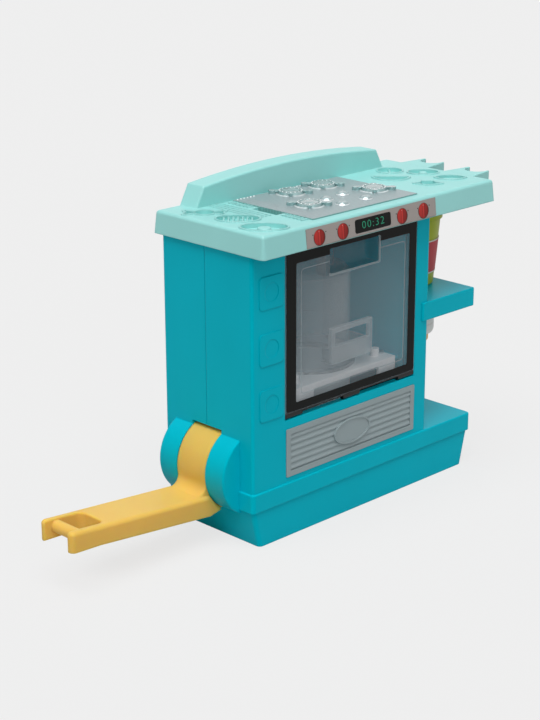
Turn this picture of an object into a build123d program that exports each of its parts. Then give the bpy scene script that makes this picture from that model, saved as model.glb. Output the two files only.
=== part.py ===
from build123d import *
import math
import os

# Toy oven: a clamshell cabinet on a wide base, with a press lever on the left, a rack that lifts the
# cake piston, a drop-down door, a lift-off hob sheet, and a side shelf that carries a tub and an icing cup.
# Frame: origin at the centre of the base underside, +X to the right, +Y to the back, +Z up. Millimetres.

# ---------------------------------------------------------------- driving dimensions
# Shared
wall = 2.2                 # moulded wall
gap = 0.3                  # running gap between pieces that move past each other
pin_fit = 0.05             # radial clearance of a pin in its bore
seam_y = 1.3               # parting plane of the two housing halves
seam_groove = 0.3          # depth of the fine groove that marks the parting plane
overcut = 1.0              # how far a cut runs past the face it opens

# Base
rim_width, rim_depth = 219.6, 85.0
foot_width, foot_depth = 205.2, 82.2
rim_bottom, base_height = 25.3, 38.2
rim_proud = 1.2            # how far the rim stands out past the tub below it
base_corner, rim_round = 3.0, 1.0

# Cabinet
cabinet_left, cabinet_right = -108.6, 60.6
cabinet_depth = 82.6
cabinet_corner = 2.0

# Countertop
counter_left, counter_right = -110.9, 114.8
counter_front, counter_back = -53.8, 47.6
counter_bottom, counter_height = 195.9, 14.8
counter_draft = 1.65       # how far the top edge sits inside the bottom edge
counter_round = 2.2
splash_left, splash_right = -89.8, 92.7
splash_slope = 7.0         # how far each end leans in
splash_shoulder, splash_crown = 13.3, 18.3
splash_front, splash_back = 30.0, 46.2
splash_round = 1.2
scraper_reach, scraper_width, scraper_bite = 19.5, 25.5, 10.5
scraper_horn, scraper_tip, scraper_round = 3.4, 1.6, 0.6
scraper_fronts = (-35.3, 5.6)
ridge_height, ridge_pitch, ridge_width = 0.7, 3.4, 1.7
drain_left, drain_pitch, drain_width, drain_height = -79.0, 3.4, 1.4, 0.4
drain_front, drain_count = -17.0, 4
mould_rim, mould_rim_height, mould_depth, mould_floor = 1.3, 0.7, 2.4, 1.5
mould_turn = -45           # the moulds lie across the diagonal of the worktop
fascia_left, fascia_right, fascia_low, fascia_height = -73.0, 50.8, 0.4, 12.4

# Hob sheet
hob_left, hob_right = -58.0, 42.4
hob_front, hob_back = -44.6, 28.8
hob_thick, hob_proud = 2.6, 0.7
burner_centres = ((-17.9, 14.6), (13.0, 14.6), (-33.3, -17.5), (29.1, -17.5))
burner_radius, burner_height, burner_flare, burner_foot = 8.2, 2.0, 2.6, 0.6
ring_width, ring_height = 1.4, 0.5
burner_arm_root, burner_arm_wide, burner_pad_radius = 6.5, 4.0, 2.6
burner_arm_turns = ((45, 10.5), (135, 12.2), (225, 10.5), (315, 12.2))  # direction and reach
dome_centres = ((-13.3, -13.9), (5.1, -10.9), (-15.9, -30.4), (6.9, -30.1))
dome_radius, dome_height = 4.8, 2.6
slot_left, slot_front, slot_back, slot_depth = -64.4, -18.5, 4.0, 7.0
slot_under = 2.8           # how far the finger slot runs below the sheet

# Door
door_left, door_right = -79.3, 46.6
door_bottom, door_top = 84.6, 192.6
door_thick, door_corner = 2.3, 2.0
door_inset = 0.1           # front of the door behind the front of the cabinet
hinge_z, hinge_inset = 83.4, 1.7
door_sill_drop = 2.0       # sill of the opening below the hinge line
knuckle_radius, knuckle_width = 1.6, 16.0
hinge_stub_radius, hinge_stub_length = 1.0, 2.4
frame_flange = 5.0         # width of the stop behind the sides and top of the door
cup_left, cup_right = -38.8, 9.0
cup_bottom, cup_top, cup_depth = 170.5, 188.0, 11.5
cup_wall, cup_round = 1.4, 3.4
snap_inset, snap_width, snap_bar, snap_raise = 4.0, 11.0, 2.4, 0.8

# Vent grille
grille_left, grille_right = -78.6, 47.0
grille_bottom, grille_top = 42.0, 75.0
grille_border, grille_recess, grille_thick = 3.8, 1.0, 1.7
grille_corner = 1.0
louvre_count, louvre_back, louvre_sunk = 6, 0.6, 0.2
medallion_width, medallion_height = 35.0, 18.0
medallion_raise, medallion_rim = 1.9, 1.3
medallion_x, medallion_z = -16.5, 58.8

# Embossed pads beside the door
pad_left, pad_size, pad_pitch, pad_top = -102.5, 21.5, 37.0, 181.0
pad_rows, pad_corner, pad_raise, pad_button_radius = 3, 3.0, 0.6, 6.0

# Lever and its hinge
hub_x, hub_z = -94.5, 47.35
cheek_radius, cheek_width, cheek_round = 29.0, 17.0, 1.2
slot_half = 13.7           # half the gap between the cheeks
slot_top_room = 2.6        # how far the slot runs above the cheeks
drum_radius, drum_band = 28.6, 2.6
band_start_angle, band_end_angle, band_steps = 104.0, 322.0, 6
web_half = 2.0
axle_radius, hub_boss_radius = 2.5, 7.0
axle_boss, axle_seat = 3.0, 12.5
arm_half_width, arm_tip_x, arm_clearance = 16.0, -234.3, 1.0
arm_round, arm_tip_round = 2.6, 3.2
arm_top_root, arm_low_root, arm_heel = (-118.0, 33.3), (-121.0, 19.6), (-111.8, 21.7)
arm_tip_top, arm_tip_low, arm_low_run = 43.4, 29.9, 22.0
neck_round = 7.0           # hollow curve between the drum and the top of the arm
grip_length, grip_half_width, grip_corner, grip_mouth = 29.0, 11.0, 5.0, 1.0
grip_bar_inset, grip_bar_z, grip_bar_radius = 9.4, 37.4, 4.0

# Lever gear and rack
gear_module, gear_teeth = 2.0, 26
pressure_angle = 20.0
backlash = 0.3
gear_width = 12.0
sector_first, sector_last = -1, 7
rack_teeth = 8
rack_back, rack_reach = 4.0, 44.2

# Carriage, piston and well
well_x, well_y = -15.5, seam_y
well_radius, well_wall, well_length = 27.8, 1.6, 38.0
beam_bottom, beam_height = 40.6, 6.0
post_radius, post_offset_x, post_offset_y = 2.0, 36.5, 10.0
post_pocket = 1.0
piston_top_drop, piston_thick, piston_skirt = 0.8, 2.4, 6.0
stem_radius = 5.0
piston_pilot, collar_height, collar_wall, eye_wall, socket_length = 9.0, 6.0, 2.5, 2.4, 9.0

# Platform in the oven chamber
platform_left, platform_right = -66.0, 33.0
platform_front, platform_top, platform_skirt = -36.0, 98.0, 10.0
peg_radius, peg_height, peg_inset_x, peg_inset_y = 3.0, 5.5, 10.0, 10.0
chamber_left, chamber_right, chamber_top = -71.0, 40.0, 193.8
chamber_wall, ledge_width, platform_screw_y = 1.6, 12.0, 24.0
notch_half, notch_height = 32.0, 6.0

# Cake mould
mould_radius, mould_wall, mould_height = 29.0, 1.3, 67.0
mould_flange_radius, mould_flange = 32.6, 2.0
handle_left, handle_right = -29.5, 10.0
handle_front, handle_raise, handle_height = -35.0, 8.0, 10.5
loop_height, loop_bar = 24.5, 3.0
mould_edge = 3.0

# Side shelf
shelf_margin = 4.3         # how far the shelf runs past the foot of the tub
shelf_top, shelf_height = 132.4, 13.0
shelf_ear, shelf_proud, shelf_corner, shelf_round = 7.4, 1.5, 1.5, 0.8
shelf_screw_y, shelf_boss = 30.0, 9.0

# Tub on the shelf
tub_room, tub_y = 1.4, seam_y  # room between the cabinet and the mouth of the tub
tub_base_radius, tub_top_radius, tub_height, tub_wall = 19.2, 23.9, 54.0, 1.0
tub_edge = 1.4
lid_height, lid_overlap, lid_wall = 8.4, 5.4, 0.9
label_bottom, label_height, label_thick, label_fit = 10.0, 24.0, 0.25, 0.08

# Icing cup under the shelf
icing_radius, icing_bottom, icing_wall = 20.8, 96.2, 1.6
icing_neck_radius, icing_edge = 18.0, 3.0
icing_fit, nozzle_hole = 0.1, 3.0
icing_grooves, icing_groove_pitch, icing_groove = 3, 5.0, 0.4
nozzle_radius, nozzle_disc, spout_radius, spout_length = 17.0, 6.2, 5.0, 9.0
nozzle_edge, spout_taper = 1.0, 1.5

# Screws
screw_radius, screw_head_radius, screw_head = 1.5, 2.9, 2.2
boss_radius, boss_seat, pilot_depth = 4.6, 6.0, 10.0
corner_screw_inset, side_screw_inset, right_screw_inset, base_screw_inset = 12.6, 9.6, 9.1, 9.8
corner_screw_z, middle_screw_x, middle_screw_z = 9.5, 36.0, 10.0
base_screw_z, side_screw_z, top_screw_drop = 20.0, 120.0, 7.9
flat_head = 1.1            # height of the flat heads of the platform screws

# ---------------------------------------------------------------- sizes that follow
half_depth = cabinet_depth / 2
counter_top = counter_bottom + counter_height
hob_floor = counter_top + hob_proud - hob_thick
cabinet_top = hob_floor - wall
slot_near, slot_far = seam_y - slot_half, seam_y + slot_half
pitch_radius = gear_module * gear_teeth / 2
tooth_pitch = math.pi * gear_module
pitch_line_x = hub_x + pitch_radius
rack_root_x = pitch_line_x + 1.25 * gear_module
rack_back_x = rack_root_x + rack_back
beam_top = beam_bottom + beam_height
door_front_y = -half_depth + door_inset
door_back_y = door_front_y + door_thick
hinge_y = -half_depth + hinge_inset
shelf_bottom = shelf_top - shelf_height
platform_under = platform_top - wall
piston_top = platform_top - piston_top_drop
piston_radius = well_radius - gap
tub_x = cabinet_right + tub_room + tub_top_radius
shelf_right = tub_x + tub_base_radius + shelf_margin
cut_reach = rim_width + rim_depth + counter_top
top_screw_z = counter_bottom - top_screw_drop
housing_screw_places = ((cabinet_left + corner_screw_inset, corner_screw_z),
                        (middle_screw_x, middle_screw_z),
                        (rim_width / 2 - base_screw_inset, base_screw_z),
                        (cabinet_left + side_screw_inset, side_screw_z),
                        (cabinet_left + corner_screw_inset, top_screw_z),
                        (cabinet_right - right_screw_inset, top_screw_z))
arm_top_tip = (arm_tip_x, arm_tip_top)
arm_low_tip = (arm_tip_x, arm_tip_low)
arm_low_mid = (arm_tip_x + arm_low_run, arm_tip_low - 1.0)
grip_root_x = arm_tip_x + grip_length
grip_bar_x = arm_tip_x + grip_bar_inset
handle_bottom = platform_top + handle_raise
loop_top = handle_bottom + loop_height
post_places = tuple((well_x + side * post_offset_x, well_y + post_offset_y) for side in (-1, 1))


# ---------------------------------------------------------------- helpers
def block(x0, x1, y0, y1, z0, z1):
    """A box between two opposite corners."""
    return Pos((x0 + x1) / 2, (y0 + y1) / 2, (z0 + z1) / 2) * Box(x1 - x0, y1 - y0, z1 - z0)


def rod_z(x, y, z0, z1, radius):
    """A round bar along Z."""
    return Pos(x, y, (z0 + z1) / 2) * Cylinder(radius, z1 - z0)


def rod_y(x, z, y0, y1, radius):
    """A round bar along Y."""
    return Pos(x, (y0 + y1) / 2, z) * Rot(90, 0, 0) * Cylinder(radius, y1 - y0)


def rod_x(y, z, x0, x1, radius):
    """A round bar along X."""
    return Pos((x0 + x1) / 2, y, z) * Rot(0, 90, 0) * Cylinder(radius, x1 - x0)


def rounded_slab(x0, x1, y0, y1, z0, z1, corner):
    """A slab with rounded upright corners."""
    outline = Pos((x0 + x1) / 2, (y0 + y1) / 2, z0) * RectangleRounded(x1 - x0, y1 - y0, corner)
    return extrude(outline, z1 - z0)


def front_plate(x0, x1, z0, z1, corner, y_front, thick):
    """A plate that faces -Y, with rounded corners."""
    plane = Plane(((x0 + x1) / 2, y_front, (z0 + z1) / 2), x_dir=(1, 0, 0), z_dir=(0, -1, 0))
    return extrude(plane * RectangleRounded(x1 - x0, z1 - z0, corner), -thick)


def side_prism(points, y0, y1):
    """A prism along Y over a closed outline of (x, z) points."""
    outline = make_face(Polyline([(x, y0, z) for x, z in points], close=True))
    return extrude(outline, y1 - y0, dir=(0, 1, 0))


def turned(profile, x, y):
    """A turned solid about the upright line through (x, y), from (radius, z) points."""
    face = make_face(Polyline([(r, 0, z) for r, z in profile], close=True))
    return Pos(x, y, 0) * revolve(face, Axis.Z)


def screw_y(x, z, seat_y, length):
    """A pan-head screw driven along -Y, with its head on seat_y."""
    head = rod_y(x, z, seat_y, seat_y + screw_head, screw_head_radius)
    return head + rod_y(x, z, seat_y - length, seat_y, screw_radius)


def export(node, shape):
    """Write one sub-part: a solid, or a group of separate solids."""
    group = shape if isinstance(shape, (list, ShapeList)) else shape.solids()
    whole = Compound(children=group) if len(group) > 1 else group[0]
    export_step(whole, os.path.join("parts", node + ".step"))


# ---------------------------------------------------------------- housing
def slot_heights():
    """Lower and upper ends of the lever slot, where the cheeks meet the cabinet wall."""
    half = math.sqrt(cheek_radius ** 2 - (hub_x - cabinet_left) ** 2)
    return hub_z - half - 2 * gap, hub_z + half + slot_top_room


def seam_grooves():
    """The fine groove round the outside where the two halves meet."""
    y0, y1 = seam_y - seam_groove / 2, seam_y + seam_groove / 2
    lines = [(x, base_height, counter_bottom) for x in (cabinet_left, cabinet_right)]
    lines += [(x, rim_bottom, base_height) for x in (-rim_width / 2, rim_width / 2)]
    return [block(x - seam_groove, x + seam_groove, y0, y1, z0, z1) for x, z0, z1 in lines]


def housing_shell():
    """The hollow cabinet and base, before it is parted at the seam."""
    tub_width = rim_width - 2 * rim_proud
    tub = loft([RectangleRounded(foot_width, foot_depth, base_corner),
                Pos(0, 0, rim_bottom) * RectangleRounded(tub_width, cabinet_depth, base_corner)])
    rim = rounded_slab(-rim_width / 2, rim_width / 2, -rim_depth / 2, rim_depth / 2,
                       rim_bottom, base_height, base_corner)
    rim = fillet(rim.faces().sort_by(Axis.Z)[-1].edges(), rim_round)
    cabinet = rounded_slab(cabinet_left, cabinet_right, -half_depth, half_depth,
                           rim_bottom, counter_bottom, cabinet_corner)
    tongue = rounded_slab(cabinet_left + wall, cabinet_right - wall, -half_depth + wall, half_depth - wall,
                          rim_bottom, cabinet_top, cabinet_corner)
    cheek_front = rod_y(hub_x, hub_z, slot_near - cheek_width, slot_near, cheek_radius)
    cheek_back = rod_y(hub_x, hub_z, slot_far, slot_far + cheek_width, cheek_radius)
    cheeks = [fillet(cheek.faces().sort_by(Axis.Y)[side].edges(), cheek_round)
              for cheek, side in ((cheek_front, 0), (cheek_back, -1))]
    outside = tub + rim + cabinet + tongue + cheeks - seam_grooves()

    low_room = Rectangle(foot_width - 2 * wall, foot_depth - 2 * wall)
    high_room = Rectangle(tub_width - 2 * wall, cabinet_depth - 2 * wall)
    base_room = loft([Pos(0, 0, wall) * low_room, Pos(0, 0, base_height - wall) * high_room])
    cabinet_room = block(cabinet_left + wall, cabinet_right - wall, -half_depth + wall, half_depth - wall,
                         base_height - 2 * wall, counter_bottom - wall)
    tongue_room = block(cabinet_left + 2 * wall, cabinet_right - 2 * wall, -half_depth + 2 * wall,
                        half_depth - 2 * wall, base_height, cabinet_top + overcut)
    cheek_rooms = [rod_y(hub_x, hub_z, y0 + wall, y0 + cheek_width - wall, cheek_radius - wall)
                   for y0 in (slot_near - cheek_width, slot_far)]
    lever_slot = [rod_y(hub_x, hub_z, slot_near, slot_far, drum_radius + 2 * gap),
                  block(hub_x - cheek_radius, cabinet_left + wall, slot_near, slot_far, *slot_heights())]
    return outside - base_room - cabinet_room - tongue_room - cheek_rooms - lever_slot - shelf_screw_holes()


def door_surround():
    """The stop flange behind the door, and the cuts for its opening and hinge."""
    inner = -half_depth + wall
    stop_back = door_back_y + gap + wall
    sill = hinge_z - door_sill_drop
    opening = block(door_left - gap, door_right + gap, -half_depth - overcut, door_back_y + gap,
                    sill, door_top + 2 * gap)
    stop = block(door_left - frame_flange, door_right + frame_flange, inner, stop_back,
                 sill - wall, min(door_top + frame_flange, cabinet_top))
    throat = block(door_left + frame_flange, door_right - frame_flange,
                   inner - overcut, stop_back + overcut,
                   sill, cup_top + 2 * cup_wall)
    knuckle_room = rod_x(hinge_y, hinge_z, door_left - gap, door_right + gap, knuckle_radius + 2 * gap)
    stub_reach = hinge_stub_length + gap
    sockets = rod_x(hinge_y, hinge_z, door_left - stub_reach, door_right + stub_reach,
                    hinge_stub_radius + pin_fit)
    return stop - throat, [opening, knuckle_room, sockets]


def front_housing(shell):
    """The front half: door opening with its stop flange, grille seat, pads, cheek and screw posts."""
    half = shell & block(-cut_reach, cut_reach, -cut_reach, seam_y, -cut_reach, cut_reach)
    stop, door_cuts = door_surround()
    half = half + stop - door_cuts
    half = half - front_plate(grille_left, grille_right, grille_bottom, grille_top, grille_corner,
                              -half_depth, grille_recess)
    for row in range(pad_rows):
        top = pad_top - row * pad_pitch
        pad = front_plate(pad_left, pad_left + pad_size, top - pad_size, top, pad_corner,
                          -half_depth - pad_raise, pad_raise)
        dish = rod_y(pad_left + pad_size / 2, top - pad_size / 2,
                     -half_depth - pad_raise, -half_depth - pad_raise / 2, pad_button_radius)
        half = half + (pad - dish)
    half = half + bearing(slot_near, -1)
    for x, z in housing_screw_places:
        post = rod_y(x, z, -half_depth + wall / 2, seam_y, boss_radius)
        half = half + post - rod_y(x, z, seam_y - pilot_depth, seam_y, screw_radius)
    return half


def rear_housing(shell):
    """The rear half: chamber walls and ledges, cheek, screw posts reached from the back."""
    half = shell & block(-cut_reach, cut_reach, seam_y, cut_reach, -cut_reach, cut_reach)
    inner = half_depth - wall
    chamber_front = door_back_y + 2 * gap + wall
    room = block(chamber_left, chamber_right, chamber_front, inner, hinge_z, chamber_top)
    walls = block(chamber_left - chamber_wall, chamber_right + chamber_wall, chamber_front, inner,
                  hinge_z, chamber_top + chamber_wall)
    ledges = [block(x, x + ledge_width, platform_front + wall + gap, inner,
                    platform_under - wall, platform_under)
              for x in (chamber_left, chamber_right - ledge_width)]
    half = half + (walls - room) + ledges + bearing(slot_far, 1)
    for x, y in ledge_screw_places():
        half = half - rod_z(x, y, platform_under - wall, platform_under, screw_radius)
    seat = seam_y + boss_seat
    for x, z in housing_screw_places:
        half = half + rod_y(x, z, seam_y, inner + wall / 2, boss_radius)
        half = half - rod_y(x, z, seam_y, seat, screw_radius + pin_fit)
        half = half - rod_y(x, z, seat, half_depth + overcut, screw_head_radius + gap)
    for x, y in post_places:
        half = half - rod_z(x, y, wall - post_pocket, wall, post_radius + pin_fit)
    return half


def bearing(slot_face, side):
    """The plate beside the drum and the blind boss that carries one end of the lever axle."""
    def disc(depth, radius):
        return rod_y(hub_x, hub_z, *sorted((slot_face, slot_face + side * depth)), radius)
    plate = disc(wall, cheek_radius)
    boss = disc(cheek_width - wall, axle_radius + axle_boss)
    return plate + boss - disc(axle_seat, axle_radius + pin_fit)


def ledge_screw_places():
    """Screws that hold the platform on its two ledges."""
    left = (platform_left + chamber_left + ledge_width) / 2
    right = (platform_right + chamber_right - ledge_width) / 2
    return [(x, y) for x in (left, right) for y in (-platform_screw_y, platform_screw_y)]


def housing_screws():
    """The screws that draw the two halves together, driven from the back."""
    seat = seam_y + boss_seat
    return [screw_y(x, z, seat, boss_seat + pilot_depth - 1) for x, z in housing_screw_places]


# ---------------------------------------------------------------- countertop
def counter_outline(inset):
    """The plan of the slab, inset all round."""
    centre = Pos((counter_left + counter_right) / 2, (counter_front + counter_back) / 2, counter_bottom)
    width = counter_right - counter_left - 2 * inset
    depth = counter_back - counter_front - 2 * inset
    return centre * RectangleRounded(width, depth, max(base_corner - inset, 0.5))


def scraper(front):
    """One two-horned scraper lobe on the right edge, hollow behind its bite."""
    root = counter_right - 2 * counter_draft
    tip = counter_right + scraper_reach
    bite = tip - scraper_bite
    back = front + scraper_width
    horn_in, horn_out = scraper_horn, scraper_horn + scraper_tip
    sides = Polyline((tip, back - horn_out), (tip, back - horn_in), (root, back),
                     (root, front), (tip, front + horn_in), (tip, front + horn_out))
    curve = ThreePointArc((tip, front + horn_out), (bite, (front + back) / 2), (tip, back - horn_out))
    lobe = extrude(Pos(0, 0, counter_bottom) * make_face([sides, curve]), counter_height)
    rim = lobe.faces().sort_by(Axis.Z)[-1].edges()
    lobe = fillet([edge for edge in rim if edge.center().X > root + wall], scraper_round)
    hollow = block(root - wall, bite - wall, front + 2 * wall, back - 2 * wall,
                   counter_bottom, counter_top - wall)
    return lobe, hollow


def splash(inset):
    """The backsplash: an arched upright wall across the back of the slab."""
    foot = counter_top - wall
    left, right = splash_left + inset, splash_right - inset
    lean = splash_slope * (splash_shoulder + wall) / splash_shoulder
    shoulder, crown = counter_top + splash_shoulder - inset, counter_top + splash_crown - inset
    y0, y1 = splash_front + inset, splash_back - inset
    left_shoulder, right_shoulder = (left + lean, y0, shoulder), (right - lean, y0, shoulder)
    sides = Polyline(left_shoulder, (left, y0, foot), (right, y0, foot), right_shoulder)
    arch = ThreePointArc(left_shoulder, ((left + right) / 2, y0, crown), right_shoulder)
    return extrude(make_face([sides, arch]), y1 - y0, dir=(0, 1, 0))


def rounded_splash():
    """The backsplash with its upper edges rounded."""
    body = splash(0)
    upper = [edge for edge in body.edges() if edge.center().Z > counter_top]
    return fillet(upper, splash_round)


def press_in(counter, x, y, outline, inside):
    """Sink one cutter mould into the top: a raised rim, a pocket, and what stands in the pocket."""
    place = Pos(x, y, counter_top) * Rot(0, 0, mould_turn)
    low, high = Pos(0, 0, -mould_depth - mould_floor), Pos(0, 0, -mould_depth)
    up = (0, 0, 1)
    cup = extrude(place * low * outline(mould_rim), mould_depth + mould_floor + mould_rim_height, dir=up)
    pocket = extrude(place * high * outline(0), mould_depth + 2 * mould_rim_height, dir=up)
    return counter + cup - pocket + [place * high * piece for piece in inside]


def candy_outline(grow):
    """A wrapped sweet: a round middle between two flared twists."""
    twist = [(3, 0), (13.5, 5.2), (11.5, 0), (13.5, -5.2)]
    outline = Circle(6.0 + grow)
    for side in (1, -1):
        fan = Polygon(*[(side * x, side * y) for x, y in twist], align=None)
        outline = outline + (offset(fan, grow) if grow else fan)
    return outline


def shell_ribs(half_long, half_short):
    """Parallel ribs across an oval pocket."""
    ribs = []
    for index in range(-3, 4):
        along = index * half_long / 4.5
        chord = half_short * math.sqrt(1 - (along / half_long) ** 2)
        ribs.append(Pos(along, 0, 0.5) * Box(1.2, 2 * chord - 1.0, 1.4))
    return ribs


def leaf_outline(grow):
    """A leaf: the overlap of two circles."""
    return Pos(0, 6.0) * Circle(12.0 + grow) & Pos(0, -6.0) * Circle(12.0 + grow)


def moon_outline(grow):
    """A half moon: a circle with its upper part cut away."""
    return Circle(12.5 + grow) & Pos(0, -7.5) * Rectangle(40, 13.0 + 2 * grow)


def cone_outline(grow):
    """A pleated cake case with a rounded top, widest at its shoulders."""
    corners = [(-9.5, -1.0), (-5.0, 1.5), (-4.0, 5.5), (4.0, 5.5), (5.0, 1.5), (9.5, -1.0), (0, -6.5)]
    case = Polygon(*corners, align=None)
    return offset(case, grow) if grow else case


def counter_moulds(counter):
    """Eight shallow moulds, three on the left and five on the right."""
    def oval(half_long, half_short):
        return lambda grow: Ellipse(half_long + grow, half_short + grow)
    moulds = [(-93.0, 17.5, candy_outline, []),
              (-88.8, -8.8, oval(13.5, 9.0), shell_ribs(13.5, 9.0)),
              (-92.4, -36.0, oval(14.5, 9.0), [Pos(0, -1.5, 0.4) * Cylinder(4.6, 1.6)]),
              (84.0, 17.0, lambda grow: Circle(8.6 + grow), [Pos(0, 0, 0.5) * Box(1.0, 14.0, 1.4)]),
              (70.0, 3.5, moon_outline, []),
              (96.8, -3.0, oval(10.5, 7.5), [Pos(0, 0, 0.5) * Cylinder(3.0, 1.6)]),
              (97.0, -27.5, leaf_outline, [Pos(0, 0, 0.4) * Box(14.0, 0.9, 1.4)]),
              (72.5, -28.0, cone_outline, [])]
    for x, y, outline, inside in moulds:
        counter = press_in(counter, x, y, outline, inside)
    return counter


def countertop():
    """The mint worktop with skirt, backsplash, scraper lobes, hob recess, finger slot and moulds."""
    draft_angle = math.degrees(math.atan2(counter_draft, counter_height))
    slab = extrude(counter_outline(0), counter_height, taper=draft_angle)
    slab = fillet(slab.faces().sort_by(Axis.Z)[-1].edges(), counter_round)
    room = extrude(counter_outline(wall), counter_height - wall, taper=draft_angle)
    counter = slab - room
    for front in scraper_fronts:
        lobe, hollow = scraper(front)
        counter = counter + lobe - hollow
    counter = counter + rounded_splash() - splash(wall)
    pan = block(hob_left - wall, hob_right + wall, hob_front - wall, hob_back + wall,
                hob_floor - wall, counter_top - wall / 2)
    recess = block(hob_left, hob_right, hob_front, hob_back, hob_floor, counter_top + overcut)
    slot_floor = counter_top - slot_depth
    slot_inner = hob_left + slot_under
    slot_cup = block(slot_left - wall, slot_inner + wall, slot_front - wall, slot_back + wall,
                     slot_floor - wall, counter_top - wall / 2)
    slot = block(slot_left, hob_left, slot_front, slot_back, slot_floor, counter_top + overcut)
    undercut = block(slot_left, slot_inner, slot_front, slot_back, slot_floor, hob_floor)
    counter = counter + pan + slot_cup - recess - slot - undercut
    return counter_moulds(counter + ridges())


def ridges():
    """Short ridges beside the hob, before and behind the finger slot, and long drain ribs to their left."""
    low = counter_top - wall / 2
    bars = []
    for row_front, row_back in ((hob_front, slot_front), (slot_back, hob_back)):
        count = math.floor((row_back - row_front - ridge_pitch) / ridge_pitch)
        for index in range(count):
            y = row_front + (index + 1) * ridge_pitch
            bars.append(block(slot_left, hob_left - wall / 2, y, y + ridge_width,
                              low, counter_top + ridge_height))
    for index in range(drain_count):
        x = drain_left + index * drain_pitch
        bars.append(block(x, x + drain_width, drain_front, splash_front, low, counter_top + drain_height))
    return bars


def fascia_label():
    """The printed strip on the sloping front of the skirt."""
    tilt = math.atan2(counter_draft, counter_height)
    plane = Plane((0, counter_front, counter_bottom), x_dir=(1, 0, 0),
                  z_dir=(0, -math.cos(tilt), math.sin(tilt)))
    strip = Pos((fascia_left + fascia_right) / 2, fascia_low + fascia_height / 2) * \
        Rectangle(fascia_right - fascia_left, fascia_height)
    return extrude(plane * strip, label_thick)


# ---------------------------------------------------------------- hob sheet
def pan_finger(x, y, turn, reach):
    """One pan support: a bar of V section, keel down, that leaves the burner in the given direction."""
    keel = hob_floor + hob_thick - seam_groove
    high = hob_floor + hob_thick + burner_height + ring_height
    half = burner_arm_wide / 2
    section = Polyline((burner_arm_root, -half, high), (burner_arm_root, half, high),
                       (burner_arm_root, 0, keel), close=True)
    bar = extrude(make_face(section), reach - burner_arm_root, dir=(1, 0, 0))
    return Pos(x, y, 0) * Rot(0, 0, turn) * bar


def burner(x, y):
    """A burner: a low flared disc with a raised ring, and four pan supports, two of them with end pads."""
    low = hob_floor + hob_thick
    high = low + burner_height
    foot = burner_radius + burner_flare
    ring_in, ring_top = burner_radius - ring_width, high + ring_height
    profile = [(0, low - gap), (foot, low - gap), (foot, low),
               (burner_radius + burner_foot, low + burner_foot), (burner_radius, ring_top),
               (ring_in, ring_top), (ring_in, high), (0, high)]
    disc = turned(profile, x, y)
    for turn, reach in burner_arm_turns:
        disc = disc + pan_finger(x, y, turn, reach)
        if reach > foot:
            pad = rod_z(reach, 0, low - gap, ring_top, burner_pad_radius)
            disc = disc + Pos(x, y, 0) * Rot(0, 0, turn) * pad
    return disc


def hob_sheet():
    """The lift-off sheet: burners and small domes on a thin plate."""
    top = hob_floor + hob_thick
    sheet = block(hob_left + gap, hob_right - gap, hob_front + gap, hob_back - gap, hob_floor, top)
    for x, y in burner_centres:
        sheet = sheet + burner(x, y)
    ball_radius = (dome_radius ** 2 + dome_height ** 2) / (2 * dome_height)
    for x, y in dome_centres:
        ball = Pos(x, y, top + dome_height - ball_radius) * Sphere(ball_radius)
        sheet = sheet + (ball & block(x - ball_radius, x + ball_radius, y - ball_radius, y + ball_radius,
                                      top - gap, top + 2 * dome_height))
    return sheet


# ---------------------------------------------------------------- door and grille
def oven_door():
    """The clear door: plate, pull cup, hinge knuckles along the lower edge with their stub pins."""
    plate = front_plate(door_left, door_right, door_bottom, door_top, door_corner, door_front_y, door_thick)
    cup_back = door_front_y + cup_depth
    cup = block(cup_left - cup_wall, cup_right + cup_wall, door_back_y - cup_wall / 2, cup_back + cup_wall,
                cup_bottom - cup_wall, cup_top + cup_wall)
    cup = fillet(cup.faces().sort_by(Axis.Y)[-1].edges(), cup_round)
    room = block(cup_left, cup_right, door_front_y - overcut, cup_back, cup_bottom, cup_top)
    room = fillet(room.faces().sort_by(Axis.Y)[-1].edges(), cup_round - cup_wall)
    snap_left = cup_left + snap_inset
    snap_right, snap_top = snap_left + snap_width, cup_top - snap_inset
    snap = block(snap_left, snap_right, cup_back - snap_raise, cup_back, cup_bottom + snap_bar, snap_top)
    snap = snap - block(snap_left + snap_bar, snap_right - snap_bar, cup_back - 2 * snap_raise, cup_back,
                        cup_bottom, snap_top - snap_bar)
    door = plate + cup - room + snap
    width = door_right - door_left
    for start in (door_left, door_left + (width - knuckle_width) / 2, door_right - knuckle_width):
        roll = rod_x(hinge_y, hinge_z, start, start + knuckle_width, knuckle_radius)
        tail = block(start, start + knuckle_width, door_front_y + door_inset, door_back_y,
                     hinge_z, door_bottom + knuckle_radius)
        door = door + roll + tail
    for start in (door_left - hinge_stub_length, door_right):
        door = door + rod_x(hinge_y, hinge_z, start, start + hinge_stub_length, hinge_stub_radius)
    return door


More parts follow.
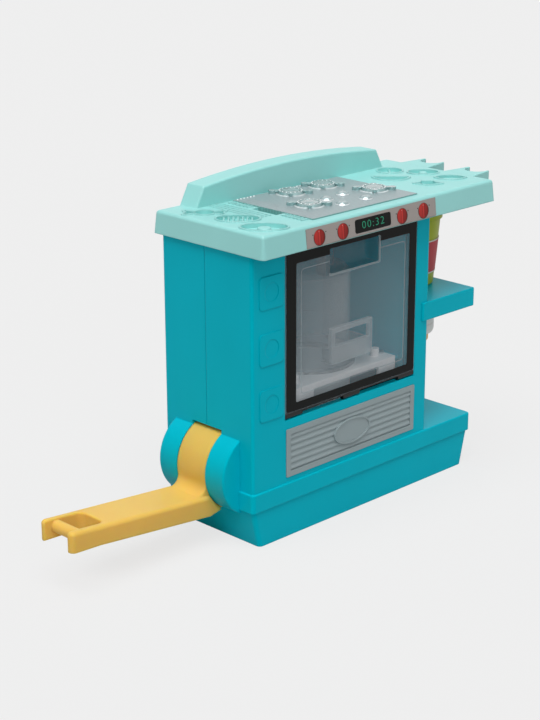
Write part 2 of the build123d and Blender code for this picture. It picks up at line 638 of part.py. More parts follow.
def vent_grille():
    """The grey vent: a flat frame round slanted louvres, with a plain oval medallion."""
    seat_y = -half_depth + grille_recess
    frame = front_plate(grille_left, grille_right, grille_bottom, grille_top, grille_corner,
                        seat_y - grille_thick, grille_thick)
    x0, x1 = grille_left + grille_border, grille_right - grille_border
    z0, z1 = grille_bottom + grille_border, grille_top - grille_border
    frame = frame - block(x0, x1, seat_y - 2 * grille_thick, seat_y - louvre_back, z0, z1)
    pitch = (z1 - z0) / louvre_count
    crest = seat_y - grille_thick + louvre_sunk
    for index in range(louvre_count):
        low = z0 + index * pitch
        slat = [(seat_y - louvre_back, low + 0.15 * pitch), (crest, low + 0.25 * pitch),
                (crest, low + 0.45 * pitch), (seat_y - louvre_back, low + pitch)]
        outline = make_face(Polyline([(x0, y, z) for y, z in slat], close=True))
        frame = frame + extrude(outline, x1 - x0, dir=(1, 0, 0))
    face = Plane((medallion_x, seat_y - louvre_back, medallion_z), x_dir=(1, 0, 0), z_dir=(0, -1, 0))
    oval = extrude(face * Ellipse(medallion_width / 2, medallion_height / 2), medallion_raise)
    inner_oval = Ellipse(medallion_width / 2 - medallion_rim, medallion_height / 2 - medallion_rim)
    dish = extrude(face.offset(medallion_raise) * inner_oval, -medallion_rim / 2)
    return frame + oval - dish


# ---------------------------------------------------------------- lever, gear and lift
def on_circle(radius, degrees):
    """A point of the lever gear, in (x, z)."""
    turn = math.radians(degrees)
    return (hub_x + radius * math.cos(turn), hub_z + radius * math.sin(turn))


def tooth_half_angle(radius):
    """Half the angle an involute tooth takes up at this radius, in degrees."""
    def involute(angle):
        return math.tan(angle) - angle
    base_radius = pitch_radius * math.cos(math.radians(pressure_angle))
    at_pitch = (tooth_pitch / 2 - backlash) / (2 * pitch_radius)
    angle = math.acos(min(1.0, base_radius / radius))
    return math.degrees(at_pitch + involute(math.radians(pressure_angle)) - involute(angle))


def gear_sector():
    """The toothed sector that turns with the lever."""
    step = 360 / gear_teeth
    root = pitch_radius - 1.25 * gear_module
    tip = pitch_radius + gear_module
    radii = [root + (tip - root) * share for share in (0.0, 0.25, 0.5, 0.75, 1.0)]
    points = [on_circle(root, (sector_first - 0.5) * step)]
    for tooth in range(sector_first, sector_last + 1):
        flank = [(radius, tooth_half_angle(radius)) for radius in radii]
        points += [on_circle(radius, tooth * step - half) for radius, half in flank]
        points += [on_circle(radius, tooth * step + half) for radius, half in reversed(flank)]
    points += [on_circle(root, (sector_last + 0.5) * step), (hub_x, hub_z)]
    return side_prism(points, seam_y - gear_width / 2, seam_y + gear_width / 2)


def drum():
    """The band that closes the slot between the cheeks, on a web and a hub boss."""
    y0, y1 = slot_near + gap, slot_far - gap
    ring = rod_y(hub_x, hub_z, y0, y1, drum_radius) - rod_y(hub_x, hub_z, y0, y1, drum_radius - drum_band)
    step = (band_end_angle - band_start_angle) / band_steps
    fan = [(hub_x, hub_z)] + [on_circle(2 * drum_radius, band_start_angle + index * step)
                              for index in range(band_steps + 1)]
    web0, web1 = seam_y - web_half, seam_y + web_half
    web = rod_y(hub_x, hub_z, web0, web1, pitch_radius - 1.25 * gear_module)
    web = web + (rod_y(hub_x, hub_z, web0, web1, drum_radius - drum_band / 2) & side_prism(fan, web0, web1))
    return (ring & side_prism(fan, y0, y1)) + web + rod_y(hub_x, hub_z, y0, y1, hub_boss_radius)


def arm_plan():
    """The arm from above: a bar rounded at its tip, with a grip opening let into it."""
    bar = Pos((arm_tip_x + hub_x) / 2, seam_y) * Rectangle(hub_x - arm_tip_x, 2 * arm_half_width)
    bar = fillet(bar.vertices().group_by(Axis.X)[0], arm_tip_round)
    hole = Pos((arm_tip_x - grip_corner + grip_root_x) / 2, seam_y) * \
        Rectangle(grip_root_x - arm_tip_x + grip_corner, 2 * grip_half_width)
    return bar - fillet(hole.vertices().group_by(Axis.X)[-1], grip_corner)


def neck_fill():
    """The hollow curve between the drum and the arm: a four-cornered fill less a round bar."""
    (root_x, root_z), (tip_x, tip_z) = arm_top_root, arm_top_tip
    run = math.hypot(tip_x - root_x, tip_z - root_z)
    along_x, along_z = (tip_x - root_x) / run, (tip_z - root_z) / run
    up_x, up_z = along_z, -along_x
    hub_height = (hub_x - root_x) * up_x + (hub_z - root_z) * up_z
    foot_x, foot_z = hub_x - hub_height * up_x, hub_z - hub_height * up_z
    offset_along = math.sqrt((drum_radius + neck_round) ** 2 - (hub_height - neck_round) ** 2)
    base_x, base_z = foot_x + offset_along * along_x, foot_z + offset_along * along_z
    centre_x, centre_z = base_x + neck_round * up_x, base_z + neck_round * up_z
    share = (drum_radius - drum_band / 2) / (drum_radius + neck_round)
    drum_point = (hub_x + share * (centre_x - hub_x), hub_z + share * (centre_z - hub_z))
    arm_point = (base_x - drum_band / 2 * up_x, base_z - drum_band / 2 * up_z)
    under = (foot_x - drum_band / 2 * up_x, foot_z - drum_band / 2 * up_z)
    y0, y1 = slot_near + gap, slot_far - gap
    fill = side_prism([(centre_x, centre_z), drum_point, under, arm_point], y0, y1)
    return fill - rod_y(centre_x, centre_z, y0, y1, neck_round)


def lever_arm():
    """The arm: a tapered bar that clears the cheeks, joined to the drum, with a grip bar at the tip."""
    y0, y1 = seam_y - arm_half_width, seam_y + arm_half_width
    side = [arm_top_root, arm_top_tip, arm_low_tip, arm_low_mid, arm_low_root, arm_heel]
    arm = side_prism(side, y0, y1) & extrude(arm_plan(), hub_z + drum_radius)
    top = arm.faces().sort_by(lambda face: face.center().Z * abs(face.normal_at().Z))[-1]

    def beside_grip(edge):
        return abs(edge.center().Y - seam_y) - grip_half_width
    arm = fillet([edge for edge in top.edges() if beside_grip(edge) > gap], arm_round)
    arm = fillet([edge for edge in arm.edges() if abs(beside_grip(edge)) < gap
                  and edge.center().X < grip_root_x - grip_corner], grip_mouth)
    arm = arm - rod_y(hub_x, hub_z, y0, y1, cheek_radius + arm_clearance)
    neck0, neck1 = slot_near + gap, slot_far - gap
    neck = side_prism([arm_top_root, (arm_top_root[0] - neck_round, arm_top_root[1]), arm_low_root, arm_heel,
                       (hub_x - stem_radius, hub_z - drum_radius + drum_band),
                       (hub_x - drum_radius + neck_round, hub_z - neck_round)], neck0, neck1)
    inside_drum = rod_y(hub_x, hub_z, neck0, neck1, drum_radius - drum_band / 2)
    bar_half = grip_half_width + overcut
    bar = rod_y(grip_bar_x, grip_bar_z, seam_y - bar_half, seam_y + bar_half, grip_bar_radius)
    return arm + bar + ((neck + neck_fill()) - inside_drum)


def lever():
    """Arm, drum and gear sector in one moulding, bored for the axle."""
    body = lever_arm() + drum() + gear_sector()
    return body - rod_y(hub_x, hub_z, slot_near, slot_far, axle_radius + pin_fit)


def lever_axle():
    """The steel pin through both cheeks and the lever hub."""
    half = slot_half + axle_seat - gap
    return rod_y(hub_x, hub_z, seam_y - half, seam_y + half, axle_radius)


def rack():
    """The toothed strip that the sector drives."""
    y0, y1 = seam_y - gear_width / 2, seam_y + gear_width / 2
    top = hub_z + rack_reach
    strip = block(rack_root_x, rack_back_x, y0, y1, beam_bottom, top)
    slope = math.tan(math.radians(pressure_angle))
    tip_x = pitch_line_x - gear_module
    half_pitch_width = (tooth_pitch / 2 - backlash) / 2
    half_tip = half_pitch_width - gear_module * slope
    half_root = half_pitch_width + 1.25 * gear_module * slope
    for index in range(rack_teeth):
        z = hub_z + (index - 0.5) * tooth_pitch
        tooth = [(rack_root_x + backlash, z - half_root), (rack_root_x, z - half_root),
                 (tip_x, z - half_tip), (tip_x, z + half_tip),
                 (rack_root_x, z + half_root), (rack_root_x + backlash, z + half_root)]
        strip = strip + side_prism(tooth, y0, y1)
    return strip


def rack_carriage():
    """Rack, beam with two guide eyes, and the collar that takes the piston stem."""
    y0, y1 = seam_y - gear_width / 2, seam_y + gear_width / 2
    eye = post_radius + gap + eye_wall
    (left_x, post_y), (right_x, _) = post_places
    beam = block(rack_root_x, right_x + eye, y0, y1, beam_bottom, beam_top)
    for x in (left_x, right_x):
        beam = beam + rod_z(x, post_y, beam_bottom, beam_top, eye)
        beam = beam + block(x - eye, x + eye, y1, post_y, beam_bottom, beam_top)
        beam = beam - rod_z(x, post_y, beam_bottom, beam_top, post_radius + gap)
    collar = rod_z(well_x, well_y, beam_bottom, beam_top + collar_height, stem_radius + collar_wall)
    collar = collar - rod_z(well_x, well_y, beam_top, beam_top + collar_height, stem_radius + pin_fit)
    head_room = rod_z(well_x, well_y, beam_bottom, beam_bottom + screw_head + gap, screw_head_radius + gap)
    shank_room = rod_z(well_x, well_y, beam_bottom, beam_top, screw_radius + pin_fit)
    return rack() + beam + collar - head_room - shank_room


def piston():
    """The lifting disc with its skirt and stem."""
    under = piston_top - piston_thick
    profile = [(0, under), (piston_radius - wall, under), (piston_radius - wall, under - piston_skirt),
               (piston_radius, under - piston_skirt), (piston_radius, piston_top), (0, piston_top)]
    stem = rod_z(well_x, well_y, beam_top, piston_top - piston_thick / 2, stem_radius)
    pilot = rod_z(well_x, well_y, beam_top, beam_top + piston_pilot, screw_radius)
    return turned(profile, well_x, well_y) + stem - pilot


def piston_screw():
    """The screw that holds the piston stem in the collar, from below."""
    seat = beam_bottom + screw_head + gap
    return rod_z(well_x, well_y, beam_bottom + gap, seat, screw_head_radius) + \
        rod_z(well_x, well_y, seat, beam_top + piston_pilot - 1, screw_radius)


def guide_posts():
    """Two steel posts that keep the carriage upright."""
    return [rod_z(x, y, wall - post_pocket, platform_under - 1, post_radius) for x, y in post_places]


# ---------------------------------------------------------------- oven chamber
def cake_platform():
    """The white floor of the chamber, with the well below it, a front skirt, pegs and post sockets."""
    y1 = half_depth - wall - gap
    body = block(platform_left, platform_right, platform_front, y1, platform_under, platform_top)
    skirt_low = platform_top - platform_skirt
    skirt_back = platform_front + wall
    skirt = block(platform_left, platform_right, platform_front, skirt_back, skirt_low, platform_top)
    notch = block(well_x - notch_half, well_x + notch_half, platform_front - overcut, skirt_back + overcut,
                  skirt_low - overcut, skirt_low + notch_height)
    well = rod_z(well_x, well_y, platform_top - well_length - wall, platform_top, well_radius + well_wall)
    body = body + (skirt - notch) + well
    socket_low = platform_under - socket_length
    for x, y in post_places:
        body = body + rod_z(x, y, socket_low, platform_under + wall / 4, post_radius + wall)
        body = body - rod_z(x, y, socket_low, platform_under - overcut, post_radius + pin_fit)
    peg_y = platform_front + peg_inset_y
    for x in (platform_left + peg_inset_x, platform_right - peg_inset_x):
        body = body + rod_z(x, peg_y, platform_top - wall / 4, platform_top + peg_height, peg_radius)
    for x, y in ledge_screw_places():
        body = body - rod_z(x, y, platform_under, platform_top, screw_radius + pin_fit)
    return body - rod_z(well_x, well_y, 0, platform_top + overcut, well_radius)


def platform_screws():
    """Four screws through the platform into its ledges."""
    return [rod_z(x, y, platform_top, platform_top + flat_head, screw_head_radius)
            + rod_z(x, y, platform_under - wall, platform_top, screw_radius)
            for x, y in ledge_screw_places()]


def cake_mould():
    """The clear mould: a closed cylinder on a flange, with a boxed handle and a lifting loop."""
    z0, z1 = platform_top, platform_top + mould_height
    inner = mould_radius - mould_wall
    rim, crown = z0 + mould_flange, z1 - mould_edge
    profile = [(inner, z0), (mould_flange_radius, z0), (mould_flange_radius, rim), (mould_radius, rim),
               (mould_radius, crown), (mould_radius - mould_edge, z1), (0, z1), (0, z1 - mould_wall),
               (inner - mould_edge + mould_wall / 2, z1 - mould_wall), (inner, crown - mould_wall / 2)]
    shell = turned(profile, well_x, well_y)
    handle_top = handle_bottom + handle_height
    handle = block(handle_left, handle_right, handle_front, well_y, handle_bottom, handle_top)
    room = block(handle_left + mould_wall, handle_right - mould_wall,
                 handle_front + mould_wall, well_y + overcut,
                 handle_bottom + mould_wall, handle_top + overcut)
    loop_back = handle_front + loop_bar
    loop = block(handle_left, handle_right, handle_front, loop_back, handle_bottom, loop_top)
    hole = block(handle_left + loop_bar, handle_right - loop_bar,
                 handle_front - overcut, loop_back + overcut,
                 handle_top + mould_wall, loop_top - loop_bar)
    inside = rod_z(well_x, well_y, z0, z1, mould_radius - mould_wall / 2)
    return shell + ((handle - room) + (loop - hole) - inside)


# ---------------------------------------------------------------- side shelf and what it carries
def shelf_screw_places():
    """Where the shelf is screwed to the cabinet wall, as (y, z)."""
    return [(side * shelf_screw_y, shelf_bottom + shelf_height / 2) for side in (-1, 1)]


def shelf_screw_holes():
    """Clearance holes in the cabinet wall."""
    return [rod_x(y, z, cabinet_right - wall - overcut, cabinet_right, screw_radius + pin_fit)
            for y, z in shelf_screw_places()]


def side_shelf():
    """The shelf on the right: a tray that clasps the cabinet, with a socket for the icing cup below."""
    half = half_depth + shelf_proud
    tray = rounded_slab(cabinet_right - shelf_ear, shelf_right, -half, half,
                        shelf_bottom, shelf_top, shelf_corner)
    tray = fillet(tray.faces().sort_by(Axis.Z)[-1].edges(), shelf_round)
    room = block(cabinet_right + wall, shelf_right - wall, -half + wall, half - wall,
                 shelf_bottom - overcut, shelf_top - wall)
    cabinet_cut = block(cabinet_right - shelf_ear - overcut, cabinet_right, -half_depth, half_depth,
                        shelf_bottom - overcut, shelf_top + overcut)
    shelf = tray - room - cabinet_cut
    shelf = shelf + rod_z(tub_x, tub_y, shelf_bottom, shelf_top - wall / 2, icing_neck_radius + wall)
    shelf = shelf - rod_z(tub_x, tub_y, shelf_bottom, shelf_top - wall, icing_neck_radius + icing_fit)
    for y, z in shelf_screw_places():
        shelf = shelf + rod_x(y, z, cabinet_right, cabinet_right + shelf_boss, boss_radius)
        shelf = shelf - rod_x(y, z, cabinet_right, cabinet_right + shelf_boss, screw_radius)
    return shelf


def shelf_screws():
    """Two screws from inside the cabinet."""
    head_x = cabinet_right - wall
    return [rod_x(y, z, head_x - screw_head, head_x, screw_head_radius)
            + rod_x(y, z, head_x, cabinet_right + shelf_boss, screw_radius)
            for y, z in shelf_screw_places()]


def tub_side(z):
    """Outside radius of the tub at this height."""
    return tub_base_radius + (tub_top_radius - tub_base_radius) * (z - shelf_top) / tub_height


def compound_tub():
    """The tapered tub that stands on the shelf."""
    z0, z1 = shelf_top, shelf_top + tub_height
    floor = z0 + tub_wall
    profile = [(0, z0), (tub_base_radius - tub_edge, z0), (tub_side(z0 + tub_edge), z0 + tub_edge),
               (tub_top_radius, z1), (tub_top_radius - tub_wall, z1),
               (tub_base_radius - tub_wall, floor), (0, floor)]
    return turned(profile, tub_x, tub_y)


def tub_label():
    """The plain band round the tub."""
    low = shelf_top + label_bottom
    high = low + label_height
    inside, outside = label_fit, label_fit + label_thick
    profile = [(tub_side(low) + inside, low), (tub_side(low) + outside, low),
               (tub_side(high) + outside, high), (tub_side(high) + inside, high)]
    return turned(profile, tub_x, tub_y)


def tub_lid():
    """The snap lid of the tub, with a sunk panel."""
    rim = shelf_top + tub_height
    low, top = rim - lid_overlap, rim - lid_overlap + lid_height
    outer = tub_top_radius + lid_wall
    profile = [(tub_top_radius, low), (outer, low), (outer, top), (outer - 2 * lid_wall, top),
               (outer - 3 * lid_wall, rim + lid_wall), (0, rim + lid_wall), (0, rim), (tub_top_radius, rim)]
    return turned(profile, tub_x, tub_y)


def icing_cup():
    """The ribbed cup that plugs into the shelf from below."""
    inner = icing_neck_radius - icing_wall
    neck_top = shelf_top - wall - gap
    profile = [(nozzle_hole, icing_bottom), (icing_radius - icing_edge, icing_bottom),
               (icing_radius - icing_edge / 4, icing_bottom + icing_edge / 3),
               (icing_radius, icing_bottom + icing_edge)]
    for groove in range(icing_grooves):
        z = icing_bottom + icing_edge + (groove + 1) * icing_groove_pitch
        profile += [(icing_radius, z - icing_groove), (icing_radius - icing_groove, z),
                    (icing_radius, z + icing_groove)]
    floor = icing_bottom + icing_wall
    profile += [(icing_radius, shelf_bottom), (icing_neck_radius, shelf_bottom),
                (icing_neck_radius, neck_top), (inner, neck_top), (inner, floor), (nozzle_hole, floor)]
    return turned(profile, tub_x, tub_y)


def icing_nozzle():
    """The nozzle cap below the cup, with a short spout."""
    top = icing_bottom
    low = top - nozzle_disc
    tip = low - spout_length
    bore = spout_radius - wall
    profile = [(bore, top), (nozzle_radius, top), (nozzle_radius, low + nozzle_edge),
               (nozzle_radius - nozzle_edge, low), (spout_radius + nozzle_edge, low),
               (spout_radius - spout_taper, tip), (bore - spout_taper / 2, tip)]
    return turned(profile, tub_x, tub_y)


# ---------------------------------------------------------------- write the sub-parts
os.makedirs("parts", exist_ok=True)
shell = housing_shell()
export("front_housing", front_housing(shell))
export("rear_housing", rear_housing(shell))
export("countertop", countertop())
export("fascia_label", fascia_label())
export("hob_sheet", hob_sheet())
export("oven_door", oven_door())
export("vent_grille", vent_grille())
export("lever", lever())
export("lever_axle", lever_axle())
export("rack_carriage", rack_carriage())
export("piston", piston())
export("piston_screw", piston_screw())
export("guide_posts", guide_posts())
export("cake_platform", cake_platform())
export("platform_screws", platform_screws())
export("cake_mould", cake_mould())
export("side_shelf", side_shelf())
export("shelf_screws", shelf_screws())
export("housing_screws", housing_screws())
export("compound_tub", compound_tub())
export("tub_label", tub_label())
export("tub_lid", tub_lid())
export("icing_cup", icing_cup())
export("icing_nozzle", icing_nozzle())
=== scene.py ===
# %% [markdown]
# # A toy oven, dressed for its portrait
# The oven comes as a fixed frame of measured solids: cabinet halves, worktop, door, lever and the
# works inside. This file gives each of them its real plastic, and models the small things that
# carry the look: the print and the fine lines on the door, the prints on the front strip, the
# beads, caps and ribs of the hob, the relief in the worktop's moulds, the edges of the tub's band
# and the line round the cake mould. Everything is in metres and in the frame's own axes: X to the
# right, Y to the back, Z up.

# %% Load the frame
import math
import bpy
from mathutils import Matrix, Vector


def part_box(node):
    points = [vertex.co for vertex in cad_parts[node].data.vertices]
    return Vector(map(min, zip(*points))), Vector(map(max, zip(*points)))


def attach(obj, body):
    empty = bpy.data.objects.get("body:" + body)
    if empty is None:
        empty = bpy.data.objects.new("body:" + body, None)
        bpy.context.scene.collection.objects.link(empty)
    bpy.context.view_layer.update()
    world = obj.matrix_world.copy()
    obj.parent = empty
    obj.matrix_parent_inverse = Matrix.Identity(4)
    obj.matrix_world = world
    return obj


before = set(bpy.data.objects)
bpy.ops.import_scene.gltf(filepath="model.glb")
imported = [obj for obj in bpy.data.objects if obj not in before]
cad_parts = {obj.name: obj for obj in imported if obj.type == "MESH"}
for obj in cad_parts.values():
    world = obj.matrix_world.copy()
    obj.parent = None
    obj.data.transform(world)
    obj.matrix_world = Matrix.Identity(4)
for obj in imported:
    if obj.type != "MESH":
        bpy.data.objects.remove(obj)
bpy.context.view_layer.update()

MM = 0.001

# %% [markdown]
# ## Colours and nodes
# A colour is easiest to think of as the hex value that a screen shows, but a shader adds up light,
# which needs linear numbers. One function makes that change everywhere. A second one adds a node:
# it sets the node's options, and for each input it either writes a value or links another node's
# output. A third one gives a colour ramp its stops.

# %% The helpers that every material uses
def linear(code):
    """The linear colour of an sRGB hex value, with full alpha."""
    parts = [int(code[i:i + 2], 16) / 255 for i in (1, 3, 5)]
    return [c / 12.92 if c <= 0.04045 else ((c + 0.055) / 1.055) ** 2.4 for c in parts] + [1.0]


def add(owner, kind, inputs=None, **options):
    """Add a node to a material or a world, set its options, and fill its inputs.

    An input is filled with a value, or with another node's output.
    """
    node = owner.node_tree.nodes.new("ShaderNode" + kind)
    for name, value in options.items():
        setattr(node, name, value)
    for name, value in (inputs or {}).items():
        if isinstance(value, bpy.types.NodeSocket):
            owner.node_tree.links.new(value, node.inputs[name])
        else:
            node.inputs[name].default_value = value
    return node


def fill_ramp(ramp, stops):
    """Give a colour ramp its stops, each a position from 0 to 1 and a hex value."""
    elements = ramp.color_ramp.elements
    while len(elements) < len(stops):
        elements.new(1.0)
    for element, (position, code) in zip(elements, stops):
        element.position = position
        element.color = linear(code)


def new_material(name):
    """An empty node material."""
    material = bpy.data.materials.new(name)
    material.use_nodes = True
    material.node_tree.nodes.clear()
    return material


# %% [markdown]
# ## Moulded plastic
# Almost all of the toy is injection-moulded ABS with a fine satin grain. Light sees three things:
# an even body colour, a faint cloudiness where the melt flowed, and a grain of about a fifth of a
# millimetre that blurs the reflections. The real grain is too fine to show at this distance, so it
# is drawn about four times as coarse. A mould never leaves a razor edge, so the Bevel node rounds
# the edges for the light without changing the mesh.

# %% One recipe for every moulded colour
CLOUD = 34 * MM       # size of the flow clouds
GRAIN = 0.8 * MM      # grain, drawn coarser than the real 0.2 mm
EDGE = 0.9 * MM       # how wide the mould rounds its edges
GRAIN_BLUR = 0.05     # how far the grain moves the roughness up and down
GRAIN_BUMP = 0.35     # how strongly the light sees the grain's relief
ABS_IOR = 1.53


def moulded(name, code, roughness=0.36, specular=0.35, mottle=0.05, relief=0.012,
            gloss_code="#ffffff", round_edge=EDGE):
    """Moulded plastic: clouded body colour, grainy roughness, a fine bump and rounded edges.

    mottle is the share by which the clouds darken and lighten the colour, relief the depth of the
    grain in millimetres, and gloss_code the tint of the reflections.
    """
    material = new_material(name)
    place = add(material, "TexCoord").outputs["Object"]
    cloud = add(material, "TexNoise", {"Vector": place, "Scale": 1 / CLOUD, "Detail": 3.0})
    noise = add(material, "TexNoise", {"Vector": place, "Scale": 1 / GRAIN, "Detail": 2.0})
    grain = noise.outputs["Fac"]
    body = linear(code)
    dark = [c * (1 - mottle) for c in body[:3]] + [1]
    light = [min(1.0, c * (1 + mottle)) for c in body[:3]] + [1]
    colour = add(material, "Mix", {0: cloud.outputs["Fac"], 6: dark, 7: light}, data_type="RGBA")
    rough = add(material, "MapRange", {"Value": grain, "To Min": roughness - GRAIN_BLUR,
                                       "To Max": roughness + GRAIN_BLUR})
    edge = add(material, "Bevel", {"Radius": round_edge}, samples=4)
    bump = add(material, "Bump", {"Height": grain, "Strength": GRAIN_BUMP,
                                  "Distance": relief * MM, "Normal": edge.outputs["Normal"]})
    shader = add(material, "BsdfPrincipled", {
        "Base Color": colour.outputs[2], "Roughness": rough.outputs["Result"],
        "Normal": bump.outputs["Normal"], "IOR": ABS_IOR, "Specular IOR Level": specular,
        "Specular Tint": linear(gloss_code)})
    add(material, "OutputMaterial", {"Surface": shader.outputs["BSDF"]})
    return material


# %% [markdown]
# ## The toy's colours
# Teal housing and shelf, mint worktop, white works, a grey vent, and the lime, pale grey and golden
# of the tub and the icing press. The prints are films and inks made with the same recipe: duller
# for the tub's band, low in gloss for the strip and its inks, and nearly without grain or clouds
# for the black. The teal pigment is strong, so its gloss is low and tinted, or white reflections
# would wash the colour out. The mint is pale and takes a fuller gloss.

# %% The moulded colours and the prints
# Black of the prints, used also as painted shade along the door's lower edge.
BLACK_PRINT_AND_SHADE = "#0e0f0e"
abs_teal = moulded("ABS_teal_satin_moulded", "#00b8cc", specular=0.14, gloss_code="#00a8c4")
abs_mint = moulded("ABS_mint_satin_moulded", "#96d9d6", specular=0.75, roughness=0.42)
abs_white = moulded("ABS_warm_white_moulded", "#fcf9fa", roughness=0.42)
abs_grey = moulded("ABS_vent_grey_moulded", "#98a6a9", roughness=0.42, specular=0.3,
                   round_edge=0.3 * MM)
pp_lime = moulded("Polypropylene_lime_moulded", "#aeb83a", roughness=0.34, gloss_code="#e0e090")
pp_cup = moulded("Polypropylene_pale_grey_moulded", "#f2f2ee", roughness=0.34)
pp_nozzle = moulded("Polypropylene_golden_moulded", "#f0c25c", roughness=0.34)
film_red = moulded("Printed_film_red_matt", "#c4424a", roughness=0.5)
film_cream = moulded("Printed_film_cream_matt", "#e8e4d8", roughness=0.5)
film_silver = moulded("Printed_film_warm_silver", "#a39c98", roughness=0.4, mottle=0.02,
                      specular=0.2)
film_black = moulded("Printed_film_black_gloss", BLACK_PRINT_AND_SHADE, roughness=0.3, mottle=0.02,
                     relief=0.003, specular=0.15)
ink_dark = moulded("Printed_ink_dark_grey", "#3a3532", roughness=0.4, specular=0.2)
ink_pink = moulded("Printed_ink_pale_pink", "#d88c86", roughness=0.4, specular=0.2)
ink_green = moulded("Printed_ink_clock_green", "#36ac84", roughness=0.4, specular=0.2)
print("moulded materials", len(bpy.data.materials))

# %% [markdown]
# ## Yellow that lets light in
# The lever is a lighter grade of plastic with little pigment. Light goes a few millimetres in and
# comes out again warmer, so the shaded sides glow a little. Subsurface scattering does this.

# %% The lever's plastic
SOAK = 8 * MM         # how far red light travels in the plastic; green and blue go less far
SOAK_SHARES = (1.0, 0.6, 0.15)        # red, green and blue, as shares of that way
SOAKING = 0.6         # share of the light that goes in at all
abs_yellow = moulded("ABS_warm_yellow_translucent", "#e8be60", roughness=0.4, specular=0.25,
                     gloss_code="#f4d890", round_edge=1.8 * MM)
yellow_shader = next(node for node in abs_yellow.node_tree.nodes if node.type == "BSDF_PRINCIPLED")
yellow_shader.inputs["Subsurface Weight"].default_value = SOAKING
yellow_shader.inputs["Subsurface Radius"].default_value = SOAK_SHARES
yellow_shader.inputs["Subsurface Scale"].default_value = SOAK
print("light soaks", round(SOAK / MM), "mm into the lever")

# %% [markdown]
# ## Clear plastic
# The door and the cake mould are thin clear mouldings. Through a thin wall the eye sees what is
# behind, a little dimmed, plus a haze of its own colour that thickens where the wall is seen
# edge-on. Mixing a see-through shader with a body shader by Layer Weight gives just that, and
# renders cleaner than true refraction. Three things change the haze from place to place. Corners
# look milky, because there the eye looks along a wall, and the Bevel node finds them: its rounded
# normal leaves the flat one there. The walls of the door's pull cup are thinner and clearer than
# its face, and the mould's handle is thicker and milkier than its body. Along the door's lowest
# edge, painted shade in the black of the printed frame stands in for the dark gap under the door.

# %% One recipe for the clear mouldings
CLEAR_IOR = 1.49
EDGE_ON = 0.35              # Layer Weight's blend: how soon a wall counts as edge-on
CORNER = 0.7 * MM           # how wide the milky corners are
CORNER_HAZE = 0.42          # haze added at a corner
BENT, STRAIGHT = 0.75, 0.98  # cosine of rounded to flat normal at a corner, and clear of it
PAINTED_SHADE_COVER = 0.85            # how much of the view the black painted shade hides, on top of the haze
HALF_STEP = 0.5 * MM        # the haze goes from one zone to the other in twice this depth
DRIFT = 0.08                # share by which the flow clouds thin and thicken the haze
WAVE = 0.2 * MM             # depth of the slow waves that the flow leaves in the surface


def clear(name, code, haze, edge, zone=(0.0, 0.0, 0.0), roughness=0.12, shade_below=None):
    """Clear plastic: see-through where it faces the eye, hazier edge-on and along its corners.

    haze and edge are the shares of body colour face on and edge-on. zone is (y, in front, behind):
    what the haze gains, or loses where it is negative, on either side of an upright plane. Below
    the height given last, black painted shade covers the plastic.
    """
    material = new_material(name)
    place = add(material, "TexCoord").outputs["Object"]
    axes = add(material, "SeparateXYZ", {"Vector": place})
    noise = add(material, "TexNoise", {"Vector": place, "Scale": 1 / CLOUD, "Detail": 2.0})
    cloud = noise.outputs["Fac"]
    facing = add(material, "LayerWeight", {"Blend": EDGE_ON}).outputs["Facing"]
    amount = add(material, "MapRange", {"Value": facing, "To Min": haze, "To Max": edge})
    drift = add(material, "MapRange", {"Value": cloud, "To Min": 1 - DRIFT, "To Max": 1 + DRIFT})
    plane, in_front, behind = zone
    thick = add(material, "MapRange", {"Value": axes.outputs["Y"], "From Min": plane - HALF_STEP,
                                       "From Max": plane + HALF_STEP,
                                       "To Min": in_front, "To Max": behind})
    rounded = add(material, "Bevel", {"Radius": CORNER}, samples=6).outputs["Normal"]
    flat = add(material, "NewGeometry").outputs["Normal"]
    agree = add(material, "VectorMath", {0: rounded, 1: flat}, operation="DOT_PRODUCT")
    corner = add(material, "MapRange", {"Value": agree.outputs["Value"], "From Min": BENT,
                                        "From Max": STRAIGHT,
                                        "To Min": CORNER_HAZE, "To Max": 0.0})
    extra = add(material, "Math", {0: thick.outputs["Result"], 1: corner.outputs["Result"]},
                operation="ADD")
    share = add(material, "Math", {0: amount.outputs["Result"], 1: drift.outputs["Result"],
                                   2: extra.outputs["Value"]},
                operation="MULTIPLY_ADD", use_clamp=True).outputs["Value"]
    tone = linear(code)
    # Painted shade: below that height the door is painted black and mostly hidden, for the dark gap
    # under it.
    if shade_below is not None:
        painted_shade_test = add(material, "Math", {0: axes.outputs["Z"], 1: shade_below}, operation="LESS_THAN")
        here = painted_shade_test.outputs["Value"]
        tone = add(material, "Mix", {0: here, 6: linear(code), 7: linear(BLACK_PRINT_AND_SHADE)},
                   data_type="RGBA").outputs[2]
        share = add(material, "Math", {0: here, 1: PAINTED_SHADE_COVER, 2: share},
                    operation="MULTIPLY_ADD", use_clamp=True).outputs["Value"]
    bump = add(material, "Bump", {"Height": cloud, "Strength": 0.2, "Distance": WAVE})
    body = add(material, "BsdfPrincipled", {"Base Color": tone, "Roughness": roughness,
                                            "IOR": CLEAR_IOR, "Normal": bump.outputs["Normal"]})
    gap = add(material, "BsdfTransparent", {"Color": linear("#ffffff")})
    both = add(material, "MixShader", {0: share, 1: gap.outputs["BSDF"], 2: body.outputs["BSDF"]})
    add(material, "OutputMaterial", {"Surface": both.outputs["Shader"]})
    return material


CUP_Y = -38.4 * MM          # just behind the door's face
LOOP_Y = -28.5 * MM         # just in front of the mould's round body
PAINTED_SHADE_TOP = 85.5 * MM         # top of the black painted shade along the door's lower edge
smoke_clear = clear("Styrene_smoke_clear", "#a8b6be", 0.13, 0.42, (CUP_Y, 0.0, -0.05),
                    shade_below=PAINTED_SHADE_TOP)
milky_clear = clear("Styrene_milky_clear", "#eaf1f4", 0.15, 0.42, (LOOP_Y, 0.08, 0.0))
frosted_edge = clear("Styrene_thick_edge", "#b0c0c4", 0.3, 0.6, roughness=0.25)
print("clear materials", smoke_clear.name, milky_clear.name, frosted_edge.name)
